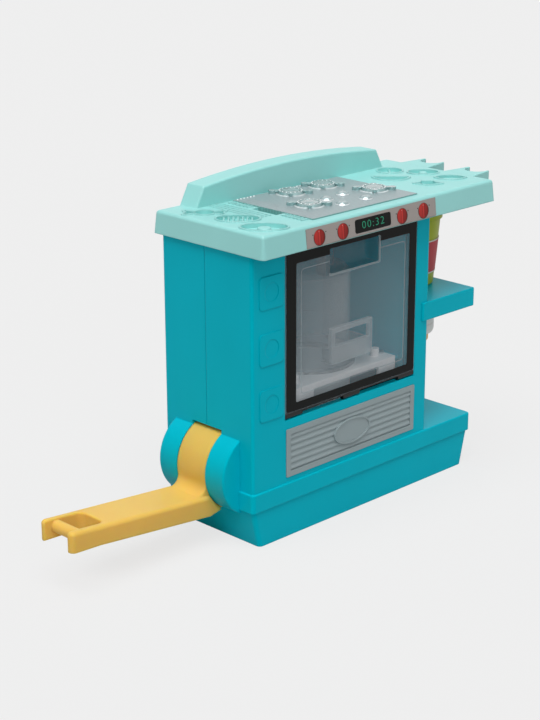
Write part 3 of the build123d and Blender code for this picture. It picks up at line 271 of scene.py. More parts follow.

# %% [markdown]
# ## Silver hob plastic
# The hob sheet is a translucent grey moulding with a pearly silver pigment. The flakes lie along
# the surface and act like a soft metal, while a little light still comes through from the mint pan
# below. So the recipe is a partly metallic shader with a small share of see-through. The flat
# sheet is brushed and dull, and what stands up from it is polished, with a painted highlight at its
# foot. The sheet's rim shows the mint pan, painted lighter than the shade on an upright edge would
# leave it. So the recipe reads the height. The steep sides of the burners mirror the mint round
# them, so above the sheet's face a painted reflection of that mint takes over where the surface
# turns upright.

# %% How high each colour of the sheet lies
FLAKE = 1.2 * MM      # clusters of flakes, drawn about ten times as coarse as the real ones
BRUSH = 2.6 * MM      # pitch of the fine lines across the sheet
BAND_SCALE = 0.314    # a Wave node of this scale has its bands one metre apart
hob_low, hob_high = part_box("hob_sheet")
BURNER_RISE = 2.6 * MM                       # the burners' highest point over the sheet's face
SHEET_TOP = hob_high.z - BURNER_RISE
RING_TOP = SHEET_TOP + 2.5 * MM              # where the burners' beads stand
SKIN = 3 * MM         # depth below the sheet's face at which the height scale starts
# The pale stops from 0.3 to 0.6 mm above the face are a painted highlight at the relief's foot; the
# stop below the face is the rim's mint, painted lighter than its shade.
SILVER_STOPS = [(-0.2, "#9cd2cf"), (-0.05, "#a9babd"), (0.1, "#b3c1c4"), (0.3, "#e6edee"),
                (0.6, "#e6edee"), (0.9, "#a4babd"), (2.5, "#ccd8d9")]   # mm above the sheet's face
print("hob sheet's face at", round(SHEET_TOP / MM, 2), "mm")

# %% The colour of the pearly silver, with its painted highlight and painted reflection
silver = new_material("Styrene_pearl_silver")
silver_place = add(silver, "TexCoord").outputs["Object"]
silver_height = add(silver, "SeparateXYZ", {"Vector": silver_place}).outputs["Z"]
silver_level = add(silver, "MapRange", {"Value": silver_height, "From Min": SHEET_TOP - SKIN,
                                        "From Max": RING_TOP})
silver_ramp = add(silver, "ValToRGB", {"Fac": silver_level.outputs["Result"]})
fill_ramp(silver_ramp, [((up * MM + SKIN) / (RING_TOP - SHEET_TOP + SKIN), code)
                        for up, code in SILVER_STOPS])
silver_flow = add(silver, "TexNoise", {"Vector": silver_place, "Scale": 1 / FLAKE, "Detail": 2.0})
silver_lines = add(silver, "TexWave", {"Vector": silver_place, "Scale": BAND_SCALE / BRUSH,
                                       "Distortion": 0.6}, wave_type="BANDS", bands_direction="Y")
silver_grain = add(silver, "MapRange", {"Value": silver_flow.outputs["Fac"],
                                        "To Min": 0.94, "To Max": 1.02})
silver_brush = add(silver, "MapRange", {"Value": silver_lines.outputs["Fac"],
                                        "To Min": 0.88, "To Max": 1.04})
silver_shade = add(silver, "Math", {0: silver_grain.outputs["Result"],
                                    1: silver_brush.outputs["Result"]}, operation="MULTIPLY")
silver_normal = add(silver, "NewGeometry").outputs["Normal"]
silver_tilt = add(silver, "SeparateXYZ", {"Vector": silver_normal}).outputs["Z"]
# The level's colour, painted highlight included, stays where the surface looks up and all along
# the sheet's own rim; where the surface turns upright, a painted reflection of the mint takes over.
silver_up = add(silver, "MapRange", {"Value": silver_tilt, "From Min": 0.2, "From Max": 0.5})
silver_flush = add(silver, "MapRange", {"Value": silver_height, "From Min": SHEET_TOP + 0.1 * MM,
                                        "From Max": SHEET_TOP + 0.3 * MM,
                                        "To Min": 1.0, "To Max": 0.0})
silver_pick = add(silver, "Math", {0: silver_up.outputs["Result"],
                                   1: silver_flush.outputs["Result"]}, operation="MAXIMUM")
# Painted reflection: upright faces above the sheet take the mint colour that they would mirror.
silver_with_painted_reflection = add(silver, "Mix", {0: silver_pick.outputs["Value"], 6: linear("#a0c4c4"),
                                  7: silver_ramp.outputs["Color"]}, data_type="RGBA")
silver_tone = add(silver, "VectorMath", {0: silver_with_painted_reflection.outputs[2],
                                         "Scale": silver_shade.outputs["Value"]},
                  operation="SCALE")

# %% The gloss of the pearly silver
SILVER_BODY = 0.9     # share of the body; the rest is see-through
# From the dull sheet to the polished relief, the roughness falls and the metal grows.
silver_relief = add(silver, "MapRange", {"Value": silver_height,
                                         "From Min": SHEET_TOP + 0.2 * MM,
                                         "From Max": SHEET_TOP + 0.6 * MM}).outputs["Result"]
silver_rough = add(silver, "MapRange", {"Value": silver_relief, "To Min": 0.4, "To Max": 0.24})
silver_metal = add(silver, "MapRange", {"Value": silver_relief, "To Min": 0.3, "To Max": 0.5})
silver_edge = add(silver, "Bevel", {"Radius": 0.25 * MM}, samples=4)
silver_body = add(silver, "BsdfPrincipled", {
    "Base Color": silver_tone.outputs["Vector"], "Metallic": silver_metal.outputs["Result"],
    "Roughness": silver_rough.outputs["Result"], "Normal": silver_edge.outputs["Normal"]})
silver_gap = add(silver, "BsdfTransparent", {"Color": linear("#dcf0ee")})
silver_both = add(silver, "MixShader", {0: SILVER_BODY, 1: silver_gap.outputs["BSDF"],
                                        2: silver_body.outputs["BSDF"]})
add(silver, "OutputMaterial", {"Surface": silver_both.outputs["Shader"]})
print("pearly silver", len(silver.node_tree.nodes), "nodes")

# %% [markdown]
# ## Steel
# The pins, posts and screws are bright zinc-plated steel: fully metallic, and mottled in its gloss
# where the plating took unevenly.

# %% Zinc-plated steel
PLATING = 0.6 * MM    # size of the marks in the plating
zinc = new_material("Steel_zinc_plated")
zinc_place = add(zinc, "TexCoord").outputs["Object"]
zinc_marks = add(zinc, "TexNoise", {"Vector": zinc_place, "Scale": 1 / PLATING, "Detail": 3.0})
zinc_rough = add(zinc, "MapRange", {"Value": zinc_marks.outputs["Fac"],
                                    "To Min": 0.22, "To Max": 0.4})
zinc_shader = add(zinc, "BsdfPrincipled", {"Base Color": linear("#c2c4c6"), "Metallic": 1.0,
                                           "Roughness": zinc_rough.outputs["Result"]})
add(zinc, "OutputMaterial", {"Surface": zinc_shader.outputs["BSDF"]})
print("steel", len(zinc.node_tree.nodes), "nodes")

# %% [markdown]
# ## Dressing the solids
# Each CAD solid already has the right shape, so it only needs its plastic. Its material slot is
# emptied first.

# %% Give each solid its material
finishes = {
    abs_teal: ["front_housing", "rear_housing", "side_shelf"],
    abs_mint: ["countertop"],
    abs_yellow: ["lever"],
    abs_white: ["rack_carriage", "piston", "cake_platform"],
    abs_grey: ["vent_grille"],
    pp_lime: ["compound_tub", "tub_lid"],
    pp_cup: ["icing_cup"],
    pp_nozzle: ["icing_nozzle"],
    film_red: ["tub_label"],
    film_silver: ["fascia_label"],
    smoke_clear: ["oven_door"],
    milky_clear: ["cake_mould"],
    silver: ["hob_sheet"],
    zinc: ["lever_axle", "piston_screw", "guide_posts", "platform_screws", "shelf_screws",
           "housing_screws"],
}
for material, names in finishes.items():
    for name in names:
        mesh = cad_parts[name].data
        mesh.materials.clear()
        mesh.materials.append(material)
print("dressed", sum(len(names) for names in finishes.values()), "solids")

# %% [markdown]
# ## Working with operators
# A new piece starts as a primitive at its size and place. These helpers keep the habits in one
# place: nothing else is selected when a piece starts, and when it is done its place goes into its
# mesh and it rides on its body.

# %% Start, shape and finish a piece
def start(add_primitive, name, **settings):
    """Add a primitive with nothing else selected."""
    bpy.ops.object.select_all(action="DESELECT")
    add_primitive(**settings)
    piece = bpy.context.active_object
    piece.name = name
    return piece


def modify(piece, kind, **settings):
    """Add a modifier and apply it."""
    modifier = piece.modifiers.new(kind.lower(), kind)
    for name, value in settings.items():
        setattr(modifier, name, value)
    bpy.ops.object.modifier_apply(modifier=modifier.name)


def finish_piece(piece, body, material, angle=40):
    """Put the piece's place into its mesh, shade it, dress it and let it ride.

    Edges that turn by more than the angle, in degrees, stay sharp.
    """
    bpy.ops.object.select_all(action="DESELECT")
    piece.select_set(True)
    bpy.context.view_layer.objects.active = piece
    bpy.ops.object.transform_apply(location=True, rotation=True, scale=True)
    bpy.ops.object.shade_smooth_by_angle(angle=math.radians(angle))
    piece.data.materials.clear()
    piece.data.materials.append(material)
    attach(piece, body)
    print(piece.name, len(piece.data.polygons), "faces")


# %% [markdown]
# ## Cards
# Prints, films and fine lines are thin and flat, so they all start as a card: a plane with rounded
# corners that Solidify gives its thickness. A frame is the same with a window in it. Two rounded
# outlines are left as bare edges, and Bridge fills the band between them.

# %% A plain card and a card with a window
CORNER_STEPS = 5      # edges in each rounded corner


def card(name, width, height, corner, thickness):
    """A flat card in the XY plane with rounded corners, thickened downwards."""
    piece = start(bpy.ops.mesh.primitive_plane_add, name, size=1)
    piece.scale = (width, height, 1)
    bpy.ops.object.transform_apply(location=False, rotation=False, scale=True)
    bpy.ops.object.mode_set(mode="EDIT")
    bpy.ops.mesh.select_all(action="SELECT")
    bpy.ops.mesh.bevel(offset=corner, segments=CORNER_STEPS, affect="VERTICES")
    bpy.ops.object.mode_set(mode="OBJECT")
    modify(piece, "SOLIDIFY", thickness=thickness, offset=-1)
    return piece


def window_card(name, outer, inner, outer_corner, inner_corner, thickness):
    """A flat frame between two rounded rectangles, each given as (x0, x1, y0, y1)."""
    piece = start(bpy.ops.mesh.primitive_plane_add, name, size=1)
    bpy.ops.object.mode_set(mode="EDIT")
    bpy.ops.mesh.delete(type="VERT")
    for (x0, x1, y0, y1), corner in ((outer, outer_corner), (inner, inner_corner)):
        bpy.ops.mesh.select_all(action="DESELECT")
        bpy.ops.mesh.primitive_plane_add(size=1)
        bpy.ops.transform.resize(value=(x1 - x0, y1 - y0, 1))
        bpy.ops.transform.translate(value=((x0 + x1) / 2, (y0 + y1) / 2, 0))
        bpy.ops.mesh.bevel(offset=corner, segments=CORNER_STEPS, affect="VERTICES")
        bpy.ops.mesh.delete(type="ONLY_FACE")
    bpy.ops.mesh.select_all(action="SELECT")
    bpy.ops.mesh.bridge_edge_loops()
    bpy.ops.mesh.normals_make_consistent(inside=False)
    bpy.ops.object.mode_set(mode="OBJECT")
    modify(piece, "SOLIDIFY", thickness=thickness, offset=-1)
    return piece


def stand_up(piece, x, y, z, lean=0.0):
    """Turn a card that lies in the XY plane to face -Y, leaning back by an angle."""
    piece.rotation_euler = (math.pi / 2 - lean, 0, 0)
    piece.location = (x, y, z)


# %% [markdown]
# ## The door's printed frame
# A black gloss print runs round the clear pane and hides the edge of the oven chamber. On the real
# door it is ink a few hundredths of a millimetre thick. A thin card with a window shows the same
# edge, so it is modelled that way. The pull cup breaks through the upper band, so a rounded block
# is cut out of the card there.

# %% The black frame, interrupted by the pull cup
door_low, door_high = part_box("oven_door")
door_face = door_low.y
PRINT = 0.08 * MM     # thickness of every print and film


def millimetres(*values):
    """The given millimetres as metres."""
    return tuple(value * MM for value in values)


PANE_BOX = millimetres(-78.2, 46.2, 86.2, 192.3)       # left, right, low, high
WINDOW_BOX = millimetres(-69.4, 39.2, 91.6, 184.2)
CUP_BOX = millimetres(-38.8, 9.0, 170.5, 188.0)


def door_trim(name, outer, inner, corners, height, material, cut_corner=1.0 * MM, shift=0.0):
    """A flat frame on the door's face, with the pull cup's mouth cut out of it.

    corners are the radii outside and inside. shift moves the cut to the left and up.
    """
    trim = window_card(name, outer, inner, *corners, height)
    left, right, low, high = CUP_BOX
    mouth = card("cup_mouth", right - left, high - low, cut_corner, 4 * height)
    mouth.location = ((left + right) / 2 - shift, (low + high) / 2 + shift, 2 * height)
    bpy.context.view_layer.objects.active = trim
    modify(trim, "BOOLEAN", object=mouth, operation="DIFFERENCE", solver="EXACT")
    bpy.data.objects.remove(mouth)
    stand_up(trim, 0, door_face - height, 0)
    finish_piece(trim, "door", material)


door_trim("door_print_frame", PANE_BOX, WINDOW_BOX, millimetres(1.6, 1.2), PRINT, film_black)
print("door", round((door_high.z - door_low.z) / MM, 1), "mm high")

# %% [markdown]
# ## Lines in the clear door
# A fine raised line follows the window a few millimetres inside the print. The mouth of the pull
# cup has a thicker rim, which shows along its right and lower edges. Both catch the light because
# the plastic is thicker there, so they get the hazier clear. The rim is a frame too: a block of
# the mouth's own size, moved left and up by twice the rim's width, leaves only an L of it.

# %% The raised line and the cup's rim
LINE_INSET, LINE_WIDTH, LINE_HEIGHT = 4.3 * MM, 0.45 * MM, 0.12 * MM
RIM_WIDTH, RIM_HEIGHT = 0.6 * MM, 0.4 * MM


def inset_box(box, by):
    """The box (x0, x1, y0, y1) made smaller on every side, or larger by a negative amount."""
    return (box[0] + by, box[1] - by, box[2] + by, box[3] - by)


door_trim("door_window_line", inset_box(WINDOW_BOX, LINE_INSET),
          inset_box(WINDOW_BOX, LINE_INSET + LINE_WIDTH), millimetres(3.0, 2.5), LINE_HEIGHT,
          frosted_edge)
door_trim("door_cup_rim", inset_box(CUP_BOX, -RIM_WIDTH), inset_box(CUP_BOX, RIM_WIDTH),
          millimetres(1.4, 0.8), RIM_HEIGHT, frosted_edge, cut_corner=1.5 * MM,
          shift=2 * RIM_WIDTH)

# %% [markdown]
# ## The strip on the front
# The strip is a printed film: warm silver, with four red knobs drawn flat, small tick marks and a
# black clock with plain green numerals. Thin cards and discs stand for the inks.

# %% The strip's own plane
label_low, label_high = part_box("fascia_label")
LEAN = math.atan2(1.65, 14.8)     # the strip leans back 1.65 mm in 14.8 mm of height
LIFT = 0.1 * MM                   # the first ink stands this far off the film
print("strip", round((label_high.x - label_low.x) / MM, 1), "mm long")


def on_strip(piece, x, z, lift):
    """Lay a card on the leaning strip, at x and height z, lifted off its face."""
    back = (z - label_low.z) * math.tan(LEAN)
    stand_up(piece, x, label_low.y + back - lift, z, LEAN)


CLOCK_X, CLOCK_Z = -11.5 * MM, 202.4 * MM
clock = card("clock_print", *millimetres(34.2, 8.9, 1.5), PRINT)
on_strip(clock, CLOCK_X, CLOCK_Z, LIFT)
finish_piece(clock, "cabinet", film_black)

# %% [markdown]
# ## Clock numerals
# Four plain digits and a colon say what time a toy oven keeps. Blender's own letters are drawn as
# curves, thinned a little and turned to a mesh, then laid on the black panel.

# %% The green digits
digits = start(bpy.ops.object.text_add, "clock_digits")
digits.data.body = "00:32"
digits.data.size = 7.1 * MM
digits.data.offset = -0.1 * MM
digits.data.extrude = PRINT / 2
digits.data.space_character = 1.22
digits.data.align_x = "CENTER"
digits.data.align_y = "CENTER"
digits.data.resolution_u = 3
bpy.ops.object.convert(target="MESH")
digits = bpy.context.active_object
digits.scale = (1.15, 1, 1)
on_strip(digits, CLOCK_X, CLOCK_Z, LIFT + PRINT)
finish_piece(digits, "cabinet", ink_green)

# %% [markdown]
# ## Knobs that are only a picture
# Each knob is a printed disc, shaded by the printer to look round: bright on the left, dark on the
# right, with a grip bar down the middle. The disc's own UV map runs from 0 to 1 across it, so a
# colour ramp along U paints the same shading on every copy, and V darkens it towards its foot.

# %% The ink of the knobs
KNOB_STOPS = [(0.0, "#7c1b18"), (0.1, "#c0322c"), (0.36, "#b62e29"), (0.42, "#94211d"),
              (0.47, "#cc403a"), (0.56, "#bc302a"), (0.62, "#7e1b18"), (0.7, "#98241f"),
              (0.9, "#8a201c"), (1.0, "#4e1210")]      # from the disc's left to its right
knob_ink = new_material("Printed_ink_knob_red")
knob_uv = add(knob_ink, "TexCoord").outputs["UV"]
knob_across = add(knob_ink, "SeparateXYZ", {"Vector": knob_uv})
knob_ramp = add(knob_ink, "ValToRGB", {"Fac": knob_across.outputs["X"]})
fill_ramp(knob_ramp, KNOB_STOPS)
knob_fade = add(knob_ink, "MapRange", {"Value": knob_across.outputs["Y"],
                                       "To Min": 0.78, "To Max": 1.12})
knob_tone = add(knob_ink, "VectorMath", {0: knob_ramp.outputs["Color"],
                                         "Scale": knob_fade.outputs["Result"]}, operation="SCALE")
knob_shader = add(knob_ink, "BsdfPrincipled", {"Base Color": knob_tone.outputs["Vector"],
                                               "Roughness": 0.3, "Specular IOR Level": 0.25})
add(knob_ink, "OutputMaterial", {"Surface": knob_shader.outputs["BSDF"]})
print("knob ink", len(KNOB_STOPS), "stops")

# %% Four knobs, their dark rims and the tick marks
KNOB_RADIUS, KNOB_Z = 4.9 * MM, 201.9 * MM
KNOB_XS = millimetres(-61.5, -40.0, 16.7, 38.0)
SHADOW_GROWS, SHADOW_RIGHT, SHADOW_DOWN = 0.35 * MM, 0.15 * MM, 0.1 * MM
GLINT_RADIUS, GLINT_LEFT, GLINT_UP = 0.3 * MM, 0.2 * MM, 3.7 * MM
TICK_RADIUS = 0.42 * MM
TICKS = [(-5.6, 2.3), (6.1, 2.6)]      # millimetres from the knob's middle


def disc(name, radius, x, z, lift, material):
    """A printed disc on the strip."""
    piece = start(bpy.ops.mesh.primitive_circle_add, name, vertices=48, radius=radius,
                  fill_type="NGON", calc_uvs=True)
    modify(piece, "SOLIDIFY", thickness=PRINT, offset=-1)
    on_strip(piece, x, z, lift)
    finish_piece(piece, "cabinet", material)


for index, x in enumerate(KNOB_XS):
    disc("knob_shadow_%d" % index, KNOB_RADIUS + SHADOW_GROWS, x + SHADOW_RIGHT,
         KNOB_Z - SHADOW_DOWN, LIFT, ink_dark)
    disc("knob_print_%d" % index, KNOB_RADIUS, x, KNOB_Z, LIFT + PRINT, knob_ink)
    disc("knob_glint_%d" % index, GLINT_RADIUS, x - GLINT_LEFT, KNOB_Z + GLINT_UP,
         LIFT + 2 * PRINT, ink_pink)
    for number, (right, up) in enumerate(TICKS):
        disc("knob_tick_%d_%d" % (index, number), TICK_RADIUS, x + right * MM, KNOB_Z + up * MM,
             LIFT, ink_dark)

# %% [markdown]
# ## Beads on the hob
# A ring of small beads stands round the top of each burner, and two short rows run along the back
# edge of the sheet. One bead is made, and spin with its duplicate option sets the rest round the
# ring at an even pitch.

# %% The rings of beads
# The beads' near-white colour is a painted highlight, since each bead is too small for its own
# glint to show.
bead_silver_and_glint = moulded("Styrene_pearl_silver_painted_highlight", "#eef4f4", roughness=0.12, specular=0.6,
                      mottle=0.02)
BURNERS = [millimetres(-17.9, 14.6), millimetres(13.0, 14.6), millimetres(-33.3, -17.5),
           millimetres(29.1, -17.5)]
BEAD, BEAD_RING, BEAD_COUNT = 0.45 * MM, 7.6 * MM, 16


def bead(x, y, z, radius):
    """One bead, added to the piece that is being edited."""
    bpy.ops.mesh.primitive_ico_sphere_add(subdivisions=2, radius=radius, location=(x, y, z))


def in_edit(name):
    """An empty mesh, open for editing at the origin."""
    piece = start(bpy.ops.mesh.primitive_plane_add, name, size=MM)
    bpy.ops.object.mode_set(mode="EDIT")
    bpy.ops.mesh.delete(type="VERT")
    return piece


for index, (x, y) in enumerate(BURNERS):
    ring = in_edit("burner_beads_%d" % index)
    bead(x + BEAD_RING, y, RING_TOP, BEAD)
    bpy.ops.mesh.spin(steps=BEAD_COUNT, dupli=True, angle=2 * math.pi, center=(x, y, 0),
                      axis=(0, 0, 1))
    bpy.ops.object.mode_set(mode="OBJECT")
    finish_piece(ring, "hob", bead_silver_and_glint)

# %% The two rows along the back edge
ROWS = [(-55.5, 6, 3.0), (0.0, 6, 3.0)]     # first bead, how many, pitch, in millimetres
ROW_BEAD, ROW_INSET, ROW_RISE = 0.65 * MM, 2.2 * MM, 0.1 * MM
rows = in_edit("hob_back_beads")
for first, count, pitch in ROWS:
    for index in range(count):
        bead((first + index * pitch) * MM, hob_high.y - ROW_INSET, SHEET_TOP + ROW_RISE, ROW_BEAD)
bpy.ops.object.mode_set(mode="OBJECT")
finish_piece(rows, "hob", bead_silver_and_glint)

# %% [markdown]
# ## Caps on the burners
# Inside each ring lies a low cap with a sunk middle. A disc is lifted and then inset twice: the
# first inset rises a little, the second sinks again. The slopes between them catch a bright line.

# %% Four burner caps
CAP_RADIUS, CAP_RISE = 6.0 * MM, 0.7 * MM
CAP_STEPS = [(1.2 * MM, 0.3 * MM), (1.6 * MM, -0.4 * MM)]     # how far in, how far up
for index, (x, y) in enumerate(BURNERS):
    cap = start(bpy.ops.mesh.primitive_circle_add, "burner_cap_%d" % index, vertices=48,
                radius=CAP_RADIUS, fill_type="NGON", location=(x, y, RING_TOP - CAP_RISE))
    bpy.ops.object.mode_set(mode="EDIT")
    bpy.ops.mesh.extrude_region_move(TRANSFORM_OT_translate={"value": (0, 0, CAP_RISE)})
    for inward, upward in CAP_STEPS:
        bpy.ops.mesh.inset(thickness=inward, depth=upward)
    bpy.ops.mesh.select_all(action="SELECT")
    bpy.ops.mesh.normals_make_consistent(inside=False)
    bpy.ops.object.mode_set(mode="OBJECT")
    finish_piece(cap, "hob", silver, angle=60)

# %% [markdown]
# ## Fine ribs on the sheet
# The left end of the sheet has fine parallel ribs, like the drainer of a sink. One thin bar with
# bevelled edges is made, and an Array repeats it.

# %% The ribs
RIB_WIDTH, RIB_PITCH, RIB_COUNT, RIB_LENGTH = 0.7 * MM, 1.7 * MM, 38, 9.5 * MM
RIB_HEIGHT, RIB_SINK, RIB_EDGE = 0.4 * MM, 0.1 * MM, 0.15 * MM
rib_start = hob_low.y + 4.0 * MM
rib_middle = hob_low.x + 2.0 * MM + RIB_LENGTH / 2
ribs = start(bpy.ops.mesh.primitive_cube_add, "hob_ribs", size=1,
             location=(rib_middle, rib_start, SHEET_TOP - RIB_SINK))
ribs.scale = (RIB_LENGTH, RIB_WIDTH, RIB_HEIGHT)
bpy.ops.object.transform_apply(location=True, rotation=False, scale=True)
modify(ribs, "BEVEL", width=RIB_EDGE, segments=2)
modify(ribs, "ARRAY", count=RIB_COUNT, use_relative_offset=False, use_constant_offset=True,
       constant_offset_displace=(0, RIB_PITCH, 0))
finish_piece(ribs, "hob", silver)

# %% [markdown]
# ## Relief in the worktop's moulds
# Pressed compound takes the pattern at the bottom of each shallow mould: ribs in the shell, a
# cross bar in the bun, a vein in the leaf and a boss in the two rings. The solid has them as low
# steps. Here rounded tops go on them, each a primitive whose edges are bevelled, so that light
# rolls over them. The moulds are turned by 45 degrees, so each piece is placed by how far along
# and across its mould it lies from the mould's centre.

# %% A rounded bar and a low dome, measured in millimetres
COUNTER_TOP = 210.7 * MM                           # the worktop's face
MOULD_TURN = math.radians(-45)
RIDGE_TOP, RIDGE_DEPTH = COUNTER_TOP - 0.3 * MM, 1.1 * MM
BOSS_TOP, BOSS_DEPTH = COUNTER_TOP + 0.4 * MM, 2.0 * MM
RIDGE_EDGE, BOSS_EDGE = 0.4 * MM, 1.1 * MM         # how wide their edges are rounded


def in_mould(centre, along, across, z):
    """The place in metres of a point given in millimetres from a mould's centre."""
    x = centre[0] + along * math.cos(MOULD_TURN) - across * math.sin(MOULD_TURN)
    y = centre[1] + along * math.sin(MOULD_TURN) + across * math.cos(MOULD_TURN)
    return (x * MM, y * MM, z)


def ridge_bar(name, centre, along, width, length):
    """A rounded bar in a mould, its width along the mould and its length across it."""
    bar = start(bpy.ops.mesh.primitive_cube_add, name, size=1,
                location=in_mould(centre, along, 0, RIDGE_TOP - RIDGE_DEPTH / 2))
    bar.rotation_euler = (0, 0, MOULD_TURN)
    bar.scale = (width * MM, length * MM, RIDGE_DEPTH)
    bpy.ops.object.transform_apply(location=False, rotation=False, scale=True)
    modify(bar, "BEVEL", width=RIDGE_EDGE, segments=3)
    finish_piece(bar, "cabinet", abs_mint)


def ring_boss(name, centre, across, radius):
    """A low dome in a ring mould."""
    boss = start(bpy.ops.mesh.primitive_cylinder_add, name, vertices=48, radius=radius * MM,
                 depth=BOSS_DEPTH, location=in_mould(centre, 0, across, BOSS_TOP - BOSS_DEPTH / 2))
    modify(boss, "BEVEL", width=BOSS_EDGE, segments=5, limit_method="ANGLE")
    finish_piece(boss, "cabinet", abs_mint)


# %% The shell's ribs, the bun's bar, the leaf's vein and the rings' bosses
SHELL, BUN, LEAF = (-88.8, -8.8), (84.0, 17.0), (97.0, -27.5)       # centres, in millimetres
RING_LEFT, RING_RIGHT = (-92.4, -36.0), (96.8, -3.0)
SHELL_LONG, SHELL_SHORT = 13.5, 9.0                # the shell is an oval of these half-lengths
SHELL_PITCH, SHELL_MARGIN = SHELL_LONG / 4.5, 1.4
for index in range(-3, 4):
    along = index * SHELL_PITCH
    chord = 2 * SHELL_SHORT * math.sqrt(1 - (along / SHELL_LONG) ** 2)
    ridge_bar("shell_rib_%d" % (index + 3), SHELL, along, 1.3, chord - SHELL_MARGIN)
ridge_bar("bun_bar", BUN, 0, 1.2, 13.6)
ridge_bar("leaf_vein", LEAF, 0, 12.0, 1.0)
ring_boss("ring_boss_left", RING_LEFT, -1.5, 4.4)
ring_boss("ring_boss_right", RING_RIGHT, 0, 2.9)

# %% [markdown]
# ## Edges of the tub's band
# The band round the tub is left plain. Two cream lines close it above and below, as on any printed
# tub. Each is a short cone wall a little outside the tub, with the tub's own slope, and Solidify
# gives it the thickness of a film.

# %% The two cream lines
tub_low, tub_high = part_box("compound_tub")
band_low, band_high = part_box("tub_label")
tub_x, tub_y = (tub_low.x + tub_high.x) / 2, (tub_low.y + tub_high.y) / 2
TUB_BASE = 19.2 * MM              # the tub's radius at its foot
SLOPE = (23.9 - 19.2) / 54.0      # its radius grows from 19.2 to 23.9 mm in 54 mm of height
BAND_LINE, BAND_GAP = 1.0 * MM, 0.36 * MM          # height of a line, and its way off the tub
LINE_OUT = 0.2 * MM               # how far a line reaches past the band's edge


def band_radius(z):
    """The radius of a cream line at a height."""
    return TUB_BASE + (z - tub_low.z) * SLOPE + BAND_GAP


for name, low in (("band_line_low", band_low.z - LINE_OUT),
                  ("band_line_high", band_high.z + LINE_OUT - BAND_LINE)):
    high = low + BAND_LINE
    line = start(bpy.ops.mesh.primitive_cone_add, name, vertices=96, end_fill_type="NOTHING",
                 depth=high - low, radius1=band_radius(low), radius2=band_radius(high),
                 location=(tub_x, tub_y, (low + high) / 2))
    modify(line, "SOLIDIFY", thickness=PRINT, offset=1)
    finish_piece(line, "tub", film_cream)

# %% [markdown]
# ## The line round the cake mould
# A fine moulded line runs round the clear mould, a little below the middle of its height. It marks
# how far the compound is filled.

# %% The fill line
MOULD_X, MOULD_Y, FILL_LINE_Z = millimetres(-15.5, 1.3, 124.0)
FILL_RADIUS, FILL_THICK = millimetres(29.0, 0.15)      # of the ring, and of the line itself
mould_low, mould_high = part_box("cake_mould")
fill_line = start(bpy.ops.mesh.primitive_torus_add, "mould_fill_line", major_segments=96,
                  minor_segments=8, major_radius=FILL_RADIUS, minor_radius=FILL_THICK,
                  location=(MOULD_X, MOULD_Y, FILL_LINE_Z))
finish_piece(fill_line, "mould", frosted_edge)
print("filled to", round((FILL_LINE_Z - mould_low.z) / (mould_high.z - mould_low.z), 2),
      "of the mould's height")

# %% [markdown]
# ## Floor and sky
# The floor is a pale paper that shows the camera most of its white as a glow of its own, so that
# it looks white without more light on the toy, and still takes the toy's shadow. The sky does the
# same for the camera and for reflections. The clear plastics here are see-through shaders, which
# pass the camera's rays on as camera rays, so transmission rays need no share of it.

# %% The floor
PAPER_WHITE = 0.78    # share of the floor that is its own glow, for the camera
floor = start(bpy.ops.mesh.primitive_plane_add, "studio_floor", size=30)
paper = new_material("Paper_pale_seamless")
paper_view = add(paper, "LightPath").outputs["Is Camera Ray"]
paper_keep = add(paper, "Math", {0: paper_view, 1: PAPER_WHITE}, operation="MULTIPLY")
paper_body = add(paper, "BsdfDiffuse", {"Color": linear("#bcbcbc")})
paper_glow = add(paper, "Emission", {"Color": linear("#ffffff"), "Strength": 0.95})
paper_both = add(paper, "MixShader", {0: paper_keep.outputs["Value"],
                                      1: paper_body.outputs["BSDF"],
                                      2: paper_glow.outputs["Emission"]})
add(paper, "OutputMaterial", {"Surface": paper_both.outputs["Shader"]})
floor.data.materials.append(paper)

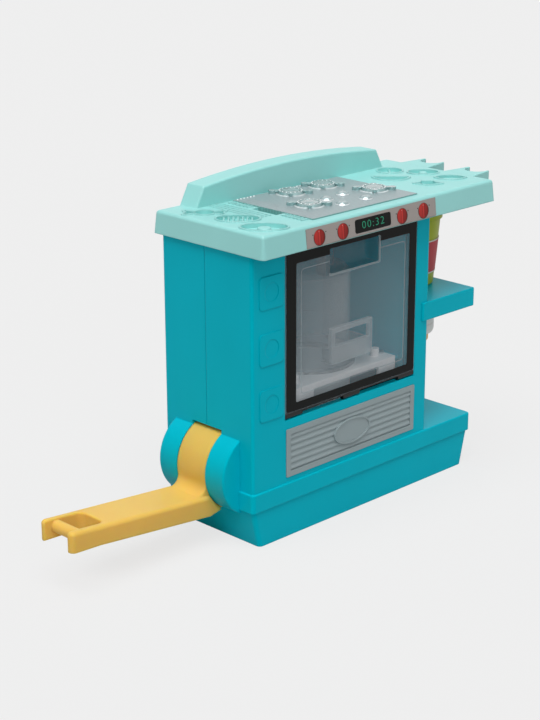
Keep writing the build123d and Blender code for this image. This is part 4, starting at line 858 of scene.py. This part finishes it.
# %% The sky
SKY = 0.27            # the sky's strength as a light; seen by the camera it is 1
world = bpy.data.worlds.new("studio_sky")
bpy.context.scene.world = world
world.use_nodes = True
world.node_tree.nodes.clear()
sky_ray = add(world, "LightPath")
sky_seen = add(world, "Math", {0: sky_ray.outputs["Is Camera Ray"],
                               1: sky_ray.outputs["Is Glossy Ray"]}, operation="MAXIMUM")
sky_level = add(world, "MapRange", {"Value": sky_seen.outputs["Value"],
                                    "To Min": SKY, "To Max": 1.0})
sky_shader = add(world, "Background", {"Color": linear("#efefef"),
                                       "Strength": sky_level.outputs["Result"]})
add(world, "OutputWorld", {"Surface": sky_shader.outputs["Background"]})

# %% [markdown]
# ## Two soft lamps
# A softbox is a lamp behind a large sheet of cloth, whose shadows have wide, soft edges. A sun lamp
# with a wide angle gives the same, and lights every part of the toy alike. A strong one stands
# above, and a weak one in front to the left opens up the shaded sides.

# %% The softboxes
SUN, FRONT = 2.6, 0.4


def soft_sun(name, energy, spread, direction):
    """A sun lamp that shines from the given direction, as wide as its spread in degrees."""
    bpy.ops.object.light_add(type="SUN", location=[3 * part for part in direction])
    lamp = bpy.context.active_object
    lamp.name = name
    lamp.data.energy = energy
    lamp.data.angle = math.radians(spread)
    lamp.rotation_euler = Vector(direction).to_track_quat("Z", "Y").to_euler()
    print(name, energy, "over", spread, "degrees")


soft_sun("top_softbox", SUN, 50, (-0.28, -0.2, 1.0))
soft_sun("front_softbox", FRONT, 40, (-0.5, -0.9, 0.5))

# %% [markdown]
# ## The camera
# It stands in front and to the left, higher than the toy, and looks down at it with a long lens,
# which keeps upright edges nearly parallel. Its direction is built from three turns: round the
# upright axis, down, and a small roll.

# %% The camera
YAW, PITCH, ROLL = math.radians(44.74), math.radians(18.58), math.radians(-0.15)
bpy.ops.object.camera_add(location=millimetres(-806.1, -760.9, 466.6))
camera = bpy.context.active_object
aim = Matrix.Rotation(-YAW, 4, "Z") @ Matrix.Rotation(math.pi / 2 - PITCH, 4, "X")
camera.rotation_euler = (aim @ Matrix.Rotation(ROLL, 4, "Z")).to_euler()
camera.data.lens = 85.03
camera.data.sensor_width = 36
camera.data.clip_end = 100
bpy.context.scene.camera = camera
bpy.context.scene.view_settings.view_transform = "Standard"
print("camera", round(camera.location.length, 2), "m from the middle of the base")
